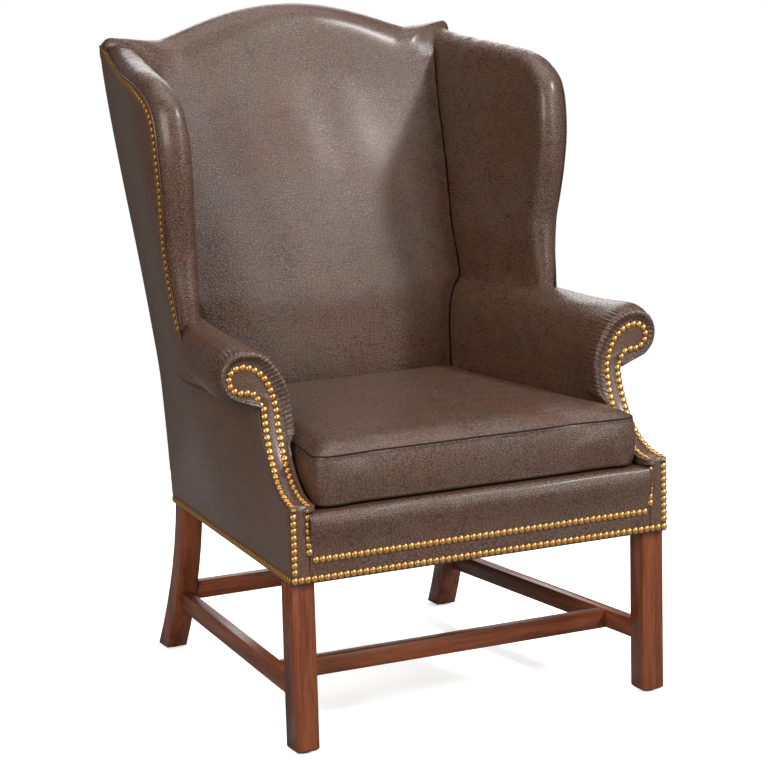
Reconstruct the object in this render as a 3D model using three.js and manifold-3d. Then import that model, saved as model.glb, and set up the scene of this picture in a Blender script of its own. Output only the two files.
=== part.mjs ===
// A wingback armchair with rolled arms, a loose seat cushion and a mahogany H stretcher base.
// Millimetres, +Z up, front towards -Y. The frame is solid wood, and every padded face is a
// leather cover over its own pad, laid between smooth surfaces that share the same sizes.
import * as THREE from 'three';
import { mergeVertices } from 'three/addons/utils/BufferGeometryUtils.js';
import Module from 'manifold-3d';

const wasm = await Module();
wasm.setup();

// Overall sizes
const frontWidth = 690;
const rearWidth = 574;
const seatDepth = 640;
const hemHeight = 283;
const crestHeight = 1154;
const crestHump = 53;
const earRise = 7;
const earOutset = 51;
const backRake = 146;
const backThick = 102;
const wingSplay = 90;
const backSplay = 66;
const wingThick = 60;
const wingCrown = 7;
const backCrown = 16;

// Arms
const armRise = 275;
const armSetback = 122;
const sweepDrop = 68;
const stepRise = 46;
const armWall = 43;
const lipReach = 8;
const facingThick = 5;
const borderProud = 6.5;
const scrollInset = 29;
const scrollDrop = 45;
const armTopRise = { wing: 13, rear: 17 };
const armTopOutset = { front: 28, wing: 35.8, rear: 9.9 };
const rollOutset = { front: 68, wing: 54.9 };
const archRise = 98;
const wingDepth = 245;
const rollEndLead = 21;

// Seat
const deckRise = 35;
const cushionThick = 84;
const cushionCrown = 22;
const cushionProud = 9;
const cushionCorner = 26;
const cushionDrawIn = 5;
const deckPadThick = 18;

// Wood sections
const legSide = 40;
const legChamfer = 4;
const rearLegWidth = 38;
const rearLegDepth = 36;
const rearFootDepth = 42;
const rearKick = 84;
const rearSplay = 12;
const railThick = 26;
const railHeight = 78;
const stretcherHeight = 32;
const stretcherThick = 20;
const stretcherRise = 86;
const rearStretcherRise = 100;
const crossSetback = 129;
const glideRadius = 11;
const glideThick = 3;
const boardThick = 22;
const postDepth = 42;
const crestRailHeight = 60;

// Sheets and clearances
const leather = 2;
const padThick = 17;
const borderPad = 6;
const backRailThick = 18;
const clothThick = 1.5;
const gap = 0.3;
const seamGap = 1;
const frameClearance = 2.5;
const tuck = 14;
const overrun = 30;
const springWire = 4;
const facingClearance = 4;
const scrollClearance = 5;
const backClearance = 10;

// Heights and depths that follow from these
const railBase = hemHeight + leather;
const railTop = railBase + railHeight;
const stepHeight = railTop + stepRise;
const cushionBottom = railTop + deckRise;
const cushionTop = cushionBottom + cushionThick;
const deckTop = cushionBottom - gap * 2;
const shoulderHeight = crestHeight - crestHump;
const earHeight = shoulderHeight + earRise;
const earWidth = rearWidth + earOutset * 2;
const armHeight = railTop + armRise;
const armTop = {
  front: armHeight, wing: armHeight + armTopRise.wing, rear: armHeight + armTopRise.rear,
};
const armSweepRise = armHeight - sweepDrop - stepHeight;
const rollStart = armHeight - archRise;
const wingSeamHeight = armTop.wing + seamGap;
const wingFrontY = seatDepth - wingDepth;
const rollEndY = wingFrontY - rollEndLead;
const facingWidth = armWall - lipReach - facingClearance;

const colours = {
  leather: 0x4c3d37,
  side: 0x4a3c37,
  wood: 0x6a3122,
  beech: 0xc9a77a,
  foam: 0xe9dfc4,
  jute: 0xb59a68,
  cambric: 0x1d1c1c,
  steel: 0x8d9094,
};

const roughness = { leather: 0.45, side: 0.5, wood: 0.35, steel: 0.4 };
const metalness = { steel: 0.9 };
const chair = new THREE.Group();
const sides = [['left', -1], ['right', 1]];

function finish(kind) {
  return new THREE.MeshStandardMaterial({
    color: colours[kind],
    roughness: roughness[kind] ?? 0.8,
    metalness: metalness[kind] ?? 0,
  });
}

function place(name, geometry, kind) {
  const piece = new THREE.Mesh(geometry, finish(kind));
  piece.name = name;
  chair.add(piece);
  return piece;
}

// A smooth curve through pairs of a run and a size, without overshoot.
function curveThrough(pairs) {
  const runs = pairs.map((p) => p[0]);
  const sizes = pairs.map((p) => p[1]);
  const last = runs.length - 1;
  const slopes = runs.slice(1).map((run, i) => (sizes[i + 1] - sizes[i]) / (run - runs[i]));
  const bends = runs.map((run, i) => {
    if (i === 0) return slopes[0];
    if (i === last) return slopes[last - 1];
    const [a, b] = [slopes[i - 1], slopes[i]];
    return a * b <= 0 ? 0 : (2 * a * b) / (a + b);
  });
  return (at) => {
    const t = THREE.MathUtils.clamp(at, runs[0], runs[last]);
    let i = 0;
    while (i < last - 1 && t > runs[i + 1]) i += 1;
    const wide = runs[i + 1] - runs[i];
    const s = (t - runs[i]) / wide;
    const rise = s * s * (3 - 2 * s);
    const early = s * (1 - s) * (1 - s) * wide * bends[i];
    const late = s * s * (1 - s) * wide * bends[i + 1];
    return sizes[i] + (sizes[i + 1] - sizes[i]) * rise + early - late;
  };
}

const mix = THREE.MathUtils.lerp;
const smooth = (t) => THREE.MathUtils.smoothstep(t, 0, 1);
const heightShare = (z) => (z - hemHeight) / (crestHeight - hemHeight);
const heightAt = (share) => mix(hemHeight, crestHeight, share);

// The back leans from the arms up, and the wings splay outwards towards their front edge.
const rakeShares = [[0, 0], [0.134, -0.01], [0.249, 0], [0.379, 0.14], [0.519, 0.355],
  [0.648, 0.59], [0.78, 0.81], [0.87, 0.92], [0.945, 0.966], [1, 1]];
const thicknessShares = [[0, 0.66], [0.24, 0.67], [0.43, 0.87], [0.67, 1], [0.89, 0.93], [1, 0.9]];
const wingFlareShares = [[0, 0], [0.387, 0.578], [0.449, 0.644], [0.55, 0.744], [0.664, 0.878],
  [0.756, 0.978], [0.827, 1], [1, 1]];
const rearFlareShares = [[0, 0], [0.249, 0.2], [0.449, 0.42], [0.664, 0.67], [0.827, 0.85],
  [0.945, 0.965], [1, 1]];
const rakeCurve = curveThrough(rakeShares);
const thicknessCurve = curveThrough(thicknessShares);
const wingFlareCurve = curveThrough(wingFlareShares);
const rearFlareCurve = curveThrough(rearFlareShares);

const rearLine = (z) => seatDepth + backRake * rakeCurve(heightShare(z));
const backLine = (z) => rearLine(z) - backThick * thicknessCurve(heightShare(z));
const sideBase = (y) => frontWidth / 2 - ((frontWidth - rearWidth) / 2) * (y / seatDepth);
const cushionFront = -cushionProud;
const cushionRear = backLine(cushionTop) - backClearance;
const armTopCentre = {
  front: sideBase(armSetback) + armTopOutset.front,
  wing: sideBase(wingFrontY) + armTopOutset.wing,
  rear: sideBase(backLine(wingSeamHeight)) + armTopOutset.rear,
};
const rollReach = {
  front: sideBase(armSetback) + rollOutset.front, wing: sideBase(rollEndY) + rollOutset.wing,
};
const scrollCentre = { x: sideBase(armSetback) + scrollInset, z: armHeight - scrollDrop };
const scrollRadius = rollReach.front - scrollCentre.x - lipReach - scrollClearance;

const flareStartShare = 0.15;
const flareFullShare = 0.6;
function outerX(y, z) {
  const share = y / rearLine(z);
  const front = wingSplay * wingFlareCurve(heightShare(z));
  const rear = backSplay * rearFlareCurve(heightShare(z));
  if (share < flareFullShare) {
    const run = (share - flareStartShare) / (flareFullShare - flareStartShare);
    return sideBase(y) + front * smooth(run);
  }
  return sideBase(y) + mix(front, rear, smooth((share - flareFullShare) / (1 - flareFullShare)));
}

// The camel crest: a hump over the middle and a small rise to each ear.
const humpHalfShare = 0.7;
const humpPower = 1.25;
function crestLine(x) {
  const share = Math.abs(x) / (earWidth / 2);
  const hump = Math.max(0, 1 - (share / humpHalfShare) ** 2) ** humpPower;
  const rise = smooth((share - humpHalfShare) / (1 - humpHalfShare));
  return shoulderHeight + (crestHeight - shoulderHeight) * hump
    + (earHeight - shoulderHeight) * rise;
}

// The arm front sweeps forward in a quarter ellipse from the scroll to the seat rail.
function sweepY(z) {
  if (z <= stepHeight) return -borderProud;
  const rise = Math.min(1, (z - stepHeight) / armSweepRise);
  return mix(-borderProud, armSetback, Math.sqrt(1 - (1 - rise) ** 2));
}

const sweepShares = [0.004, 0.03, 0.1, 0.2, 0.36, 0.58, 0.8];
const sweepEndShare = 0.98;
function sweptBehind(depth) {
  const pairs = [...sweepShares, sweepEndShare].map((share) => {
    const z = stepHeight + armSweepRise * share;
    const rest = 1 - share;
    const run = (armSetback + borderProud) * (rest / Math.sqrt(1 - rest * rest));
    const along = new THREE.Vector2(run, armSweepRise).normalize();
    return [z - along.x * depth, sweepY(z) + along.y * depth];
  });
  const upright = [hemHeight, stepHeight - depth - gap].map((z) => [z, depth - borderProud]);
  return curveThrough([...upright, ...pairs]);
}

const wingThickShares = [[0, 0.75], [0.42, 0.77], [0.55, 1], [0.75, 1.05], [1, 0.97]];
const wingThickCurve = curveThrough(wingThickShares);
const wingWide = (z) => wingThick * wingThickCurve(heightShare(z));
const wingInnerX = (y, z) => outerX(y, z) - wingWide(z);

// Solids between two grids of points that share their rows and columns.
function solidBetween(front, back) {
  const rows = front.length;
  const columns = front[0].length;
  const points = [...front.flat(), ...back.flat()];
  const other = rows * columns;
  const faces = [];
  const at = (i, j) => i * columns + j;
  const quad = (a, b, c, d) => faces.push(a, b, c, a, c, d);
  for (let i = 0; i < rows - 1; i += 1) {
    for (let j = 0; j < columns - 1; j += 1) {
      quad(at(i, j), at(i, j + 1), at(i + 1, j + 1), at(i + 1, j));
      quad(other + at(i, j), other + at(i + 1, j), other + at(i + 1, j + 1), other + at(i, j + 1));
    }
  }
  const rim = [];
  for (let j = 0; j < columns - 1; j += 1) rim.push(at(0, j));
  for (let i = 0; i < rows - 1; i += 1) rim.push(at(i, columns - 1));
  for (let j = columns - 1; j > 0; j -= 1) rim.push(at(rows - 1, j));
  for (let i = rows - 1; i > 0; i -= 1) rim.push(at(i, 0));
  rim.forEach((a, k) => {
    const b = rim[(k + 1) % rim.length];
    quad(b, a, other + a, other + b);
  });
  return closed(points, faces);
}

function closed(points, faces) {
  let volume = 0;
  const cross = new THREE.Vector3();
  for (let i = 0; i < faces.length; i += 3) {
    const [a, b, c] = [points[faces[i]], points[faces[i + 1]], points[faces[i + 2]]];
    volume += a.dot(cross.crossVectors(b, c));
  }
  if (volume < 0) faces.reverse();
  const geometry = new THREE.BufferGeometry().setFromPoints(points);
  geometry.setIndex(faces);
  geometry.computeVertexNormals();
  return geometry;
}

// Each point of a grid moves along the grid's own normal, to one side or the other.
function offset(grid, distance) {
  const rows = grid.length;
  const columns = grid[0].length;
  return grid.map((row, i) => row.map((point, j) => {
    const along = grid[Math.min(i + 1, rows - 1)][j].clone().sub(grid[Math.max(i - 1, 0)][j]);
    const across = row[Math.min(j + 1, columns - 1)].clone().sub(row[Math.max(j - 1, 0)]);
    return point.clone().addScaledVector(along.cross(across).normalize(), distance);
  }));
}

const steps = (count) => Array.from({ length: count + 1 }, (_, i) => i / count);
const gridOf = (rows, columns, at) => rows.map((u) => columns.map((v) => at(u, v)));
const handed = (grid, hand) => grid.map((row) => row.map((p) => new THREE.Vector3(p.x * hand, p.y, p.z)));

// A cover is one sheet of leather, and its pad lies under it with a running gap.
function coverAndPad(name, grid, hand, inward, thickness) {
  const outside = handed(grid, hand);
  const turn = inward * hand;
  const under = offset(outside, leather * turn);
  place(`${name}_cover`, solidBetween(outside, under), 'leather');
  const padTop = offset(outside, (leather + gap) * turn);
  const padBase = offset(outside, (leather + gap + thickness) * turn);
  place(`${name}_pad`, solidBetween(padTop, padBase), 'foam');
}

function manifoldOf(geometry) {
  const bare = geometry.clone();
  bare.deleteAttribute('normal');
  bare.deleteAttribute('uv');
  const merged = mergeVertices(bare, gap / 1000);
  return new wasm.Manifold(new wasm.Mesh({
    numProp: 3,
    vertProperties: new Float32Array(merged.attributes.position.array),
    triVerts: new Uint32Array(merged.index.array),
  }));
}

function geometryOf(solid) {
  const { vertProperties, triVerts } = solid.getMesh();
  const geometry = new THREE.BufferGeometry();
  geometry.setAttribute('position', new THREE.BufferAttribute(vertProperties, 3));
  geometry.setIndex(new THREE.BufferAttribute(triVerts, 1));
  geometry.computeVertexNormals();
  return geometry;
}

function cut(geometry, ...tools) {
  let solid = manifoldOf(geometry);
  for (const tool of tools) solid = solid.subtract(manifoldOf(tool));
  return geometryOf(solid);
}

// A bar along a run of stations, each a ring of corner points.
function barThrough(rings) {
  const count = rings[0].length;
  const points = rings.flat();
  const faces = [];
  for (let i = 0; i < rings.length - 1; i += 1) {
    for (let j = 0; j < count; j += 1) {
      const [a, b] = [i * count + j, i * count + ((j + 1) % count)];
      faces.push(a, b, b + count, a, b + count, a + count);
    }
  }
  const end = (rings.length - 1) * count;
  for (let j = 1; j < count - 1; j += 1) {
    faces.push(0, j + 1, j, end, end + j, end + j + 1);
  }
  return closed(points, faces);
}

const box = (x0, x1, y0, y1, z0, z1) => {
  const geometry = new THREE.BoxGeometry(Math.abs(x1 - x0), Math.abs(y1 - y0), Math.abs(z1 - z0));
  return geometry.translate((x0 + x1) / 2, (y0 + y1) / 2, (z0 + z1) / 2);
};

// A rectangle in plan, standing level, with its centre and half sizes.
const ringAt = (x, y, z, halfX, halfY) => [[-1, -1], [1, -1], [1, 1], [-1, 1]]
  .map(([a, b]) => new THREE.Vector3(x + a * halfX, y + b * halfY, z));

// Show wood and frame
const legOuter = frontWidth / 2 - leather - gap;
const legFace = leather + gap;
const legCentreX = legOuter - legSide / 2;
const legCentreY = legFace + legSide / 2;
const footBase = glideThick + gap;

function frontLeg(name, hand) {
  const half = legSide / 2;
  const inner = legCentreX - half;
  const topOuter = sideBase(legFace + legSide) - leather - gap;
  const topHalf = (topOuter - inner) / 2;
  const shoulder = hemHeight - gap;
  const rings = [[footBase, half - legChamfer], [footBase + legChamfer, half], [shoulder, half]]
    .map(([z, reach]) => ringAt(hand * legCentreX, legCentreY, z, reach, reach));
  const tops = [shoulder + gap, railTop]
    .map((z) => ringAt(hand * (inner + topHalf), legCentreY, z, topHalf, half));
  place(name, barThrough([...rings, ...tops]), 'wood');
}

// Rear legs and back posts are one piece: a sabre leg below the seat, a raked post above it.
const kickPower = 1.9;
const postTopHeight = shoulderHeight - crestRailHeight;
const legStations = [...steps(7).map((s) => mix(footBase, hemHeight, s)),
  ...steps(9).slice(1).map((s) => mix(hemHeight, postTopHeight, s))];
const postBack = (z) => rearLine(z) - leather - frameClearance;
const postOuterX = (z) => outerX(postBack(z), z) - leather - seamGap;

function rearLegRing(z, hand) {
  const drop = Math.max(0, (hemHeight - z) / hemHeight);
  const back = postBack(Math.max(z, hemHeight)) + rearKick * drop ** kickPower;
  const deep = mix(rearLegDepth, rearFootDepth, drop);
  const outer = postOuterX(Math.max(z, hemHeight)) + rearSplay * drop;
  return ringAt(hand * (outer - rearLegWidth / 2), back - deep / 2, z, rearLegWidth / 2, deep / 2);
}

for (const [side, hand] of sides) {
  frontLeg(`front_leg_${side}`, hand);
  place(`rear_leg_${side}`, barThrough(legStations.map((z) => rearLegRing(z, hand))), 'wood');
  const glide = new THREE.CylinderGeometry(glideRadius, glideRadius, glideThick, 16);
  glide.rotateX(Math.PI / 2).translate(0, 0, glideThick / 2);
  const foot = rearLegRing(footBase, hand);
  const footX = (foot[0].x + foot[2].x) / 2;
  const footY = (foot[0].y + foot[2].y) / 2;
  place(`front_glide_${side}`, glide.clone().translate(hand * legCentreX, legCentreY, 0), 'steel');
  place(`rear_glide_${side}`, glide.clone().translate(footX, footY, 0), 'steel');
}

// Side stretchers run from the front legs to the rear legs, square to neither.
const stretcherTop = stretcherRise + stretcherHeight;
const rearLegAt = (z) => rearLegRing(z, 1);
function sideStretcherX(y) {
  const front = legCentreX;
  const rear = (rearLegAt(stretcherRise)[0].x + rearLegAt(stretcherRise)[2].x) / 2;
  return mix(front, rear, (y - legFace - legSide) / (seatDepth - legFace - legSide));
}

function slantedBar(y0, y1, z0, z1, centreAt, thick) {
  const ends = [y0, y1].map((y) => [[-1, z0], [1, z0], [1, z1], [-1, z1]]
    .map(([a, z]) => new THREE.Vector3(centreAt(y) + a * thick / 2, y, z)));
  return barThrough(ends);
}

const stretcherFront = legFace + legSide + gap;
const rearLegFrontAt = (z) => rearLegAt(z)[0].y;
for (const [side, hand] of sides) {
  const rearEnd = Math.min(rearLegFrontAt(stretcherTop), rearLegFrontAt(stretcherRise)) - gap;
  const bar = slantedBar(stretcherFront, rearEnd, stretcherRise, stretcherTop,
    (y) => hand * sideStretcherX(y), stretcherThick);
  place(`side_stretcher_${side}`, bar, 'wood');
}
const crossHalfFront = sideStretcherX(crossSetback) - stretcherThick / 2 - gap;
const crossHalfRear = sideStretcherX(crossSetback + stretcherThick) - stretcherThick / 2 - gap;
place('cross_stretcher', barThrough([-1, 1].map((hand) => [
  [crossHalfFront, crossSetback, stretcherRise],
  [crossHalfRear, crossSetback + stretcherThick, stretcherRise],
  [crossHalfRear, crossSetback + stretcherThick, stretcherTop],
  [crossHalfFront, crossSetback, stretcherTop],
].map(([x, y, z]) => new THREE.Vector3(hand * x, y, z)))), 'wood');

const rearStretcherTop = rearStretcherRise + stretcherHeight;
const rearInner = (z) => rearLegAt(z)[0].x - gap;
const rearStretcherY = (rearLegAt(rearStretcherTop)[0].y + rearLegAt(rearStretcherTop)[2].y) / 2;
const rearStretcherHalf = Math.min(rearInner(rearStretcherRise), rearInner(rearStretcherTop));
place('rear_stretcher', box(-rearStretcherHalf, rearStretcherHalf,
  rearStretcherY - stretcherThick / 2, rearStretcherY + stretcherThick / 2,
  rearStretcherRise, rearStretcherTop), 'wood');

// Seat rails, let in between the legs
const railInset = leather + gap;
const rearPostFront = Math.min(rearLegFrontAt(railBase), rearLegFrontAt(railTop));
const frontRailHalf = legCentreX - legSide / 2 - gap;
place('front_rail', box(-frontRailHalf, frontRailHalf, legFace, legFace + railThick,
  railBase, railTop), 'beech');
const rearRailHalf = rearInner(railBase);
const rearRailBack = Math.min(postBack(railBase), postBack(railTop));
place('rear_rail', box(-rearRailHalf, rearRailHalf, rearRailBack - railThick, rearRailBack,
  railBase, railTop), 'beech');
const sideRailCentre = (y) => sideBase(y) - railInset - seamGap - railThick / 2;
for (const [side, hand] of sides) {
  place(`side_rail_${side}`, slantedBar(stretcherFront, rearPostFront - gap, railBase, railTop,
    (y) => hand * sideRailCentre(y), railThick), 'beech');
}

// Triangular glue blocks stiffen the four corners under the deck.
const blockLeg = 62;
const blockRise = 40;
function cornerBlock(name, x, y, hand, turn) {
  const shape = new THREE.Shape();
  shape.moveTo(0, 0);
  shape.lineTo(-hand * blockLeg, 0);
  shape.lineTo(0, turn * blockLeg);
  shape.closePath();
  const block = new THREE.ExtrudeGeometry(shape, { depth: blockRise, bevelEnabled: false });
  place(name, block.translate(x, y, railBase + blockRise / 2), 'beech');
}
const blockFrontY = legFace + legSide + gap;
const blockRearY = rearPostFront - gap;
for (const [side, hand] of sides) {
  const inside = (y) => sideRailCentre(y) - railThick / 2 - gap;
  cornerBlock(`front_corner_block_${side}`, hand * inside(blockFrontY + blockLeg), blockFrontY, hand, 1);
  cornerBlock(`rear_corner_block_${side}`, hand * inside(blockRearY), blockRearY, hand, -1);
}

// Zigzag seat springs run from the front rail to the rear rail, arched under the deck.
const springTop = deckTop - leather - gap - deckPadThick - gap - clothThick - gap;
const springCount = 5;
const springWaves = 9;
const springWide = 48;
const springMargin = 30;
const springPitch = (rearRailHalf * 2 - springWide - springMargin * 2) / (springCount - 1);
const springSides = 4;
const springStart = legFace + railThick / 2;
const springEnd = rearRailBack - railThick / 2;
const springLevel = railTop + gap + springWire / 2;
const springLift = springTop - springWire / 2 - springLevel;

function seatSpring(name, x) {
  const samples = springWaves * 4;
  const points = steps(samples).map((s, i) => new THREE.Vector3(
    x + (springWide / 2) * [0, 1, 0, -1][i % 4],
    mix(springStart, springEnd, s),
    springLevel + springLift * Math.sin(Math.PI * s),
  ));
  const ring = new THREE.Shape();
  steps(springSides).slice(1).forEach((s, i) => {
    const turn = 2 * Math.PI * s;
    const [px, py] = [Math.cos(turn) * springWire / 2, Math.sin(turn) * springWire / 2];
    if (i === 0) ring.moveTo(px, py);
    else ring.lineTo(px, py);
  });
  const path = new THREE.CatmullRomCurve3(points);
  const wire = new THREE.ExtrudeGeometry(ring, { steps: samples, extrudePath: path });
  place(name, wire, 'steel');
}
for (let i = 0; i < springCount; i += 1) {
  seatSpring(`seat_spring_${i + 1}`, (i - (springCount - 1) / 2) * springPitch);
}

// Deck: a burlap sheet on the springs, a pad on the burlap and a leather deck over the pad.
const deckFront = legFace + legSide + gap;
const deckRear = backLine(deckTop) - seamGap;
const deckHalf = (y) => sideBase(y) - armWall - seamGap - leather;
function deckLayer(name, z0, z1, kind) {
  const rings = [deckFront, deckRear].map((y) => {
    const half = deckHalf(y);
    return [[-half, z0], [half, z0], [half, z1], [-half, z1]].map(([x, z]) => new THREE.Vector3(x, y, z));
  });
  place(name, barThrough(rings), kind);
}
deckLayer('spring_burlap', springTop + gap, springTop + gap + clothThick, 'jute');
deckLayer('deck_pad', deckTop - leather - gap - deckPadThick, deckTop - leather - gap, 'foam');
deckLayer('deck_cover', deckTop - leather, deckTop, 'leather');

const dustInset = 12;
place('dust_cover', barThrough([legFace + legSide + dustInset, rearPostFront - dustInset].map((y) => {
  const half = sideRailCentre(y);
  return [[-half, hemHeight], [half, hemHeight], [half, railBase - gap], [-half, railBase - gap]]
    .map(([x, z]) => new THREE.Vector3(x, y, z));
})), 'cambric');

// The loose cushion: a box cushion with crowned faces, drawn-in sides and rounded corners.
const cushionHalf = (y) => sideBase(y) - armWall - seamGap * 3;
const cushionDeep = cushionRear - cushionFront;
const cushionRound = 5;
function cushionOutline(count, inset) {
  const corners = [[1, cushionRear], [-1, cushionRear], [-1, cushionFront], [1, cushionFront]];
  const shape = [];
  corners.forEach(([hand, y], k) => {
    const inY = y === cushionRear ? y - cushionCorner : y + cushionCorner;
    const inX = hand * (cushionHalf(y) - cushionCorner);
    steps(cushionRound).forEach((s) => {
      const turn = (Math.PI / 2) * (k + s);
      const reach = cushionCorner - inset;
      shape.push([inX + reach * Math.cos(turn), inY + reach * Math.sin(turn)]);
    });
    const [nextHand, nextY] = corners[(k + 1) % corners.length];
    const next = nextY === cushionRear ? nextY - cushionCorner : nextY + cushionCorner;
    const nextTurn = (Math.PI / 2) * (k + 1);
    const nextX = nextHand * (cushionHalf(nextY) - cushionCorner);
    const reach = cushionCorner - inset;
    const from = shape[shape.length - 1];
    const to = [nextX + reach * Math.cos(nextTurn), next + reach * Math.sin(nextTurn)];
    steps(count).slice(1, -1).forEach((s) => shape.push([mix(from[0], to[0], s), mix(from[1], to[1], s)]));
  });
  return shape;
}

const cushionCentreY = (cushionFront + cushionRear) / 2;
const crownStepShares = [0.97, 0.88, 0.72, 0.5, 0.25];
function cushionSolid(inset) {
  const outline = cushionOutline(5, 0);
  const half = (cushionTop - cushionBottom) / 2;
  const centre = cushionBottom + half;
  const scaleIn = (share, z) => outline.map(([x, y]) => {
    const [cx, cy] = [x * share, cushionCentreY + (y - cushionCentreY) * share];
    const long = Math.hypot(x, y - cushionCentreY);
    const k = Math.max(0, long * share - inset * share) / (long * share);
    return new THREE.Vector3(cx * k, cushionCentreY + (cy - cushionCentreY) * k, z);
  });
  const drawn = (share) => 1 - (cushionDrawIn / cushionHalf(0)) * Math.sin(Math.PI * share);
  const crownAt = (share) => cushionTop + cushionCrown * (1 - share ** 2.6) - inset;
  const lower = crownStepShares.slice().reverse()
    .map((share) => scaleIn(share, cushionBottom - gap + inset));
  const sidesUp = steps(3).map((s) => scaleIn(drawn(s), mix(cushionBottom + inset, cushionTop - inset, s)));
  const upper = crownStepShares.map((share) => scaleIn(share, crownAt(share)));
  return barThrough([...lower, ...sidesUp, ...upper]);
}
const zipHalf = 180;
const zipRise = 3;
const cushionWall = leather + gap;
const zipZ = (cushionTop + cushionBottom) / 2;
const zipSlot = box(-zipHalf, zipHalf, cushionRear - overrun, cushionRear + overrun,
  zipZ - zipRise, zipZ + zipRise);
place('seat_cushion_cover', cut(cushionSolid(0), cushionSolid(leather), zipSlot), 'leather');
place('seat_cushion_core', cushionSolid(cushionWall), 'foam');

// Outside panels: one sheet from the hem up to the arm roll and the wing's nailed edge.
const rollDrop = { front: 41, wing: 23 };
const rollBelow = { front: 40, wing: 18 };
const rollTuck = { front: 8, wing: 14 };
const rollAxisHeight = { front: armTop.front - rollDrop.front, wing: armTop.wing - rollDrop.wing };
const rollUnderHeight = {
  front: rollAxisHeight.front - rollBelow.front, wing: rollAxisHeight.wing - rollBelow.wing,
};
const rollSeamHeight = {
  front: rollUnderHeight.front - rollTuck.front, wing: rollUnderHeight.wing - rollTuck.wing,
};
const underRollHeight = rollSeamHeight.front - seamGap * 4;

// Shares along the side run 0-1 from under the roll to the wing's seam and 1-2 to the crest.
const sideHeightAt = (share) => (share < 1 ? mix(underRollHeight, wingSeamHeight, share)
  : mix(wingSeamHeight, crestHeight, share - 1));
const sideShare = (z) => (z < wingSeamHeight
  ? (z - underRollHeight) / (wingSeamHeight - underRollHeight)
  : 1 + (z - wingSeamHeight) / (crestHeight - wingSeamHeight));
const panelFrontShares = [[0, 0.34], [0.019, 0.42], [0.037, 0.6], [0.067, 0.79], [0.238, 0.896],
  [0.441, 0.947], [0.783, 0.968], [1.046, 0.992], [1.129, 1.012], [1.221, 1.018], [1.33, 0.995],
  [1.42, 0.977], [1.504, 0.97], [1.58, 0.975], [1.651, 0.99], [1.703, 1.018], [1.748, 1.085],
  [1.785, 1.222], [1.807, 1.56], [1.833, 1.73], [1.879, 1.91]];
const panelFrontCurve = curveThrough(panelFrontShares);
const panelBehind = facingThick + seamGap;
const sweptPanel = sweptBehind(panelBehind);
function panelFront(z) {
  if (z < underRollHeight) return sweptPanel(z);
  return wingFrontY * panelFrontCurve(sideShare(z));
}
const panelRows = [
  ...steps(2).map((s) => mix(hemHeight, stepHeight - panelBehind - gap, s)),
  ...sweepShares.map((s) => stepHeight - panelBehind + (armSweepRise + panelBehind) * s),
  underRollHeight - gap,
  ...panelFrontShares.map(([share]) => sideHeightAt(share)),
];
const panelColumns = steps(5);
const panelGrid = gridOf(panelRows, panelColumns, (z, s) => {
  const y = mix(panelFront(z), rearLine(z), s);
  return new THREE.Vector3(outerX(y, z), y, z);
});
for (const [side, hand] of sides) {
  const sheet = panelGrid.map((row) => row.map((p) => new THREE.Vector3(hand * (p.x - leather), p.y, p.z)));
  place(`outside_panel_${side}`, solidBetween(handed(panelGrid, hand), sheet), 'side');
}

// The crest roll: half an ellipse over the top of the back, from front face to rear face.
const crestRoll = 38;
const rollEndHeight = (x) => crestLine(x) - crestRoll;
const outsideBackGrid = gridOf(steps(9), steps(12), (v, u) => {
  const side = mix(-1, 1, u);
  const top = rollEndHeight(side * earWidth / 2) - seamGap;
  const z = mix(hemHeight, top, v);
  const x = side * (outerX(rearLine(z), z) - leather - gap);
  return new THREE.Vector3(x, rearLine(z), z);
});
const sunk = (grid, depth) => grid.map((row) => row.map((p) => new THREE.Vector3(p.x, p.y - depth, p.z)));
place('outside_back', solidBetween(outsideBackGrid, sunk(outsideBackGrid, leather)), 'side');

// The inside of an arm: a face up from the deck, a rolled top and an overhanging outer roll.
const rollCurve = curveThrough([[0, 0], [0.5, 0.12], [0.85, 0.5], [1, 1]]);
const liftCurve = curveThrough([[0, 0], [0.6, 0.02], [0.85, 0.5], [1, 1]]);
const armInner = (y) => sideBase(y) - armWall;
const wingOuterInset = leather + seamGap * 1.5;
function armTopAt(y) {
  if (y < wingFrontY) {
    const share = (y - armSetback) / (wingFrontY - armSetback);
    return { x: mix(armTopCentre.front, armTopCentre.wing, share), z: mix(armTop.front, armTop.wing, share) };
  }
  const share = (y - wingFrontY) / (backLine(wingSeamHeight) - wingFrontY);
  return { x: mix(armTopCentre.wing, armTopCentre.rear, share), z: mix(armTop.wing, armTop.rear, share) };
}

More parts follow.
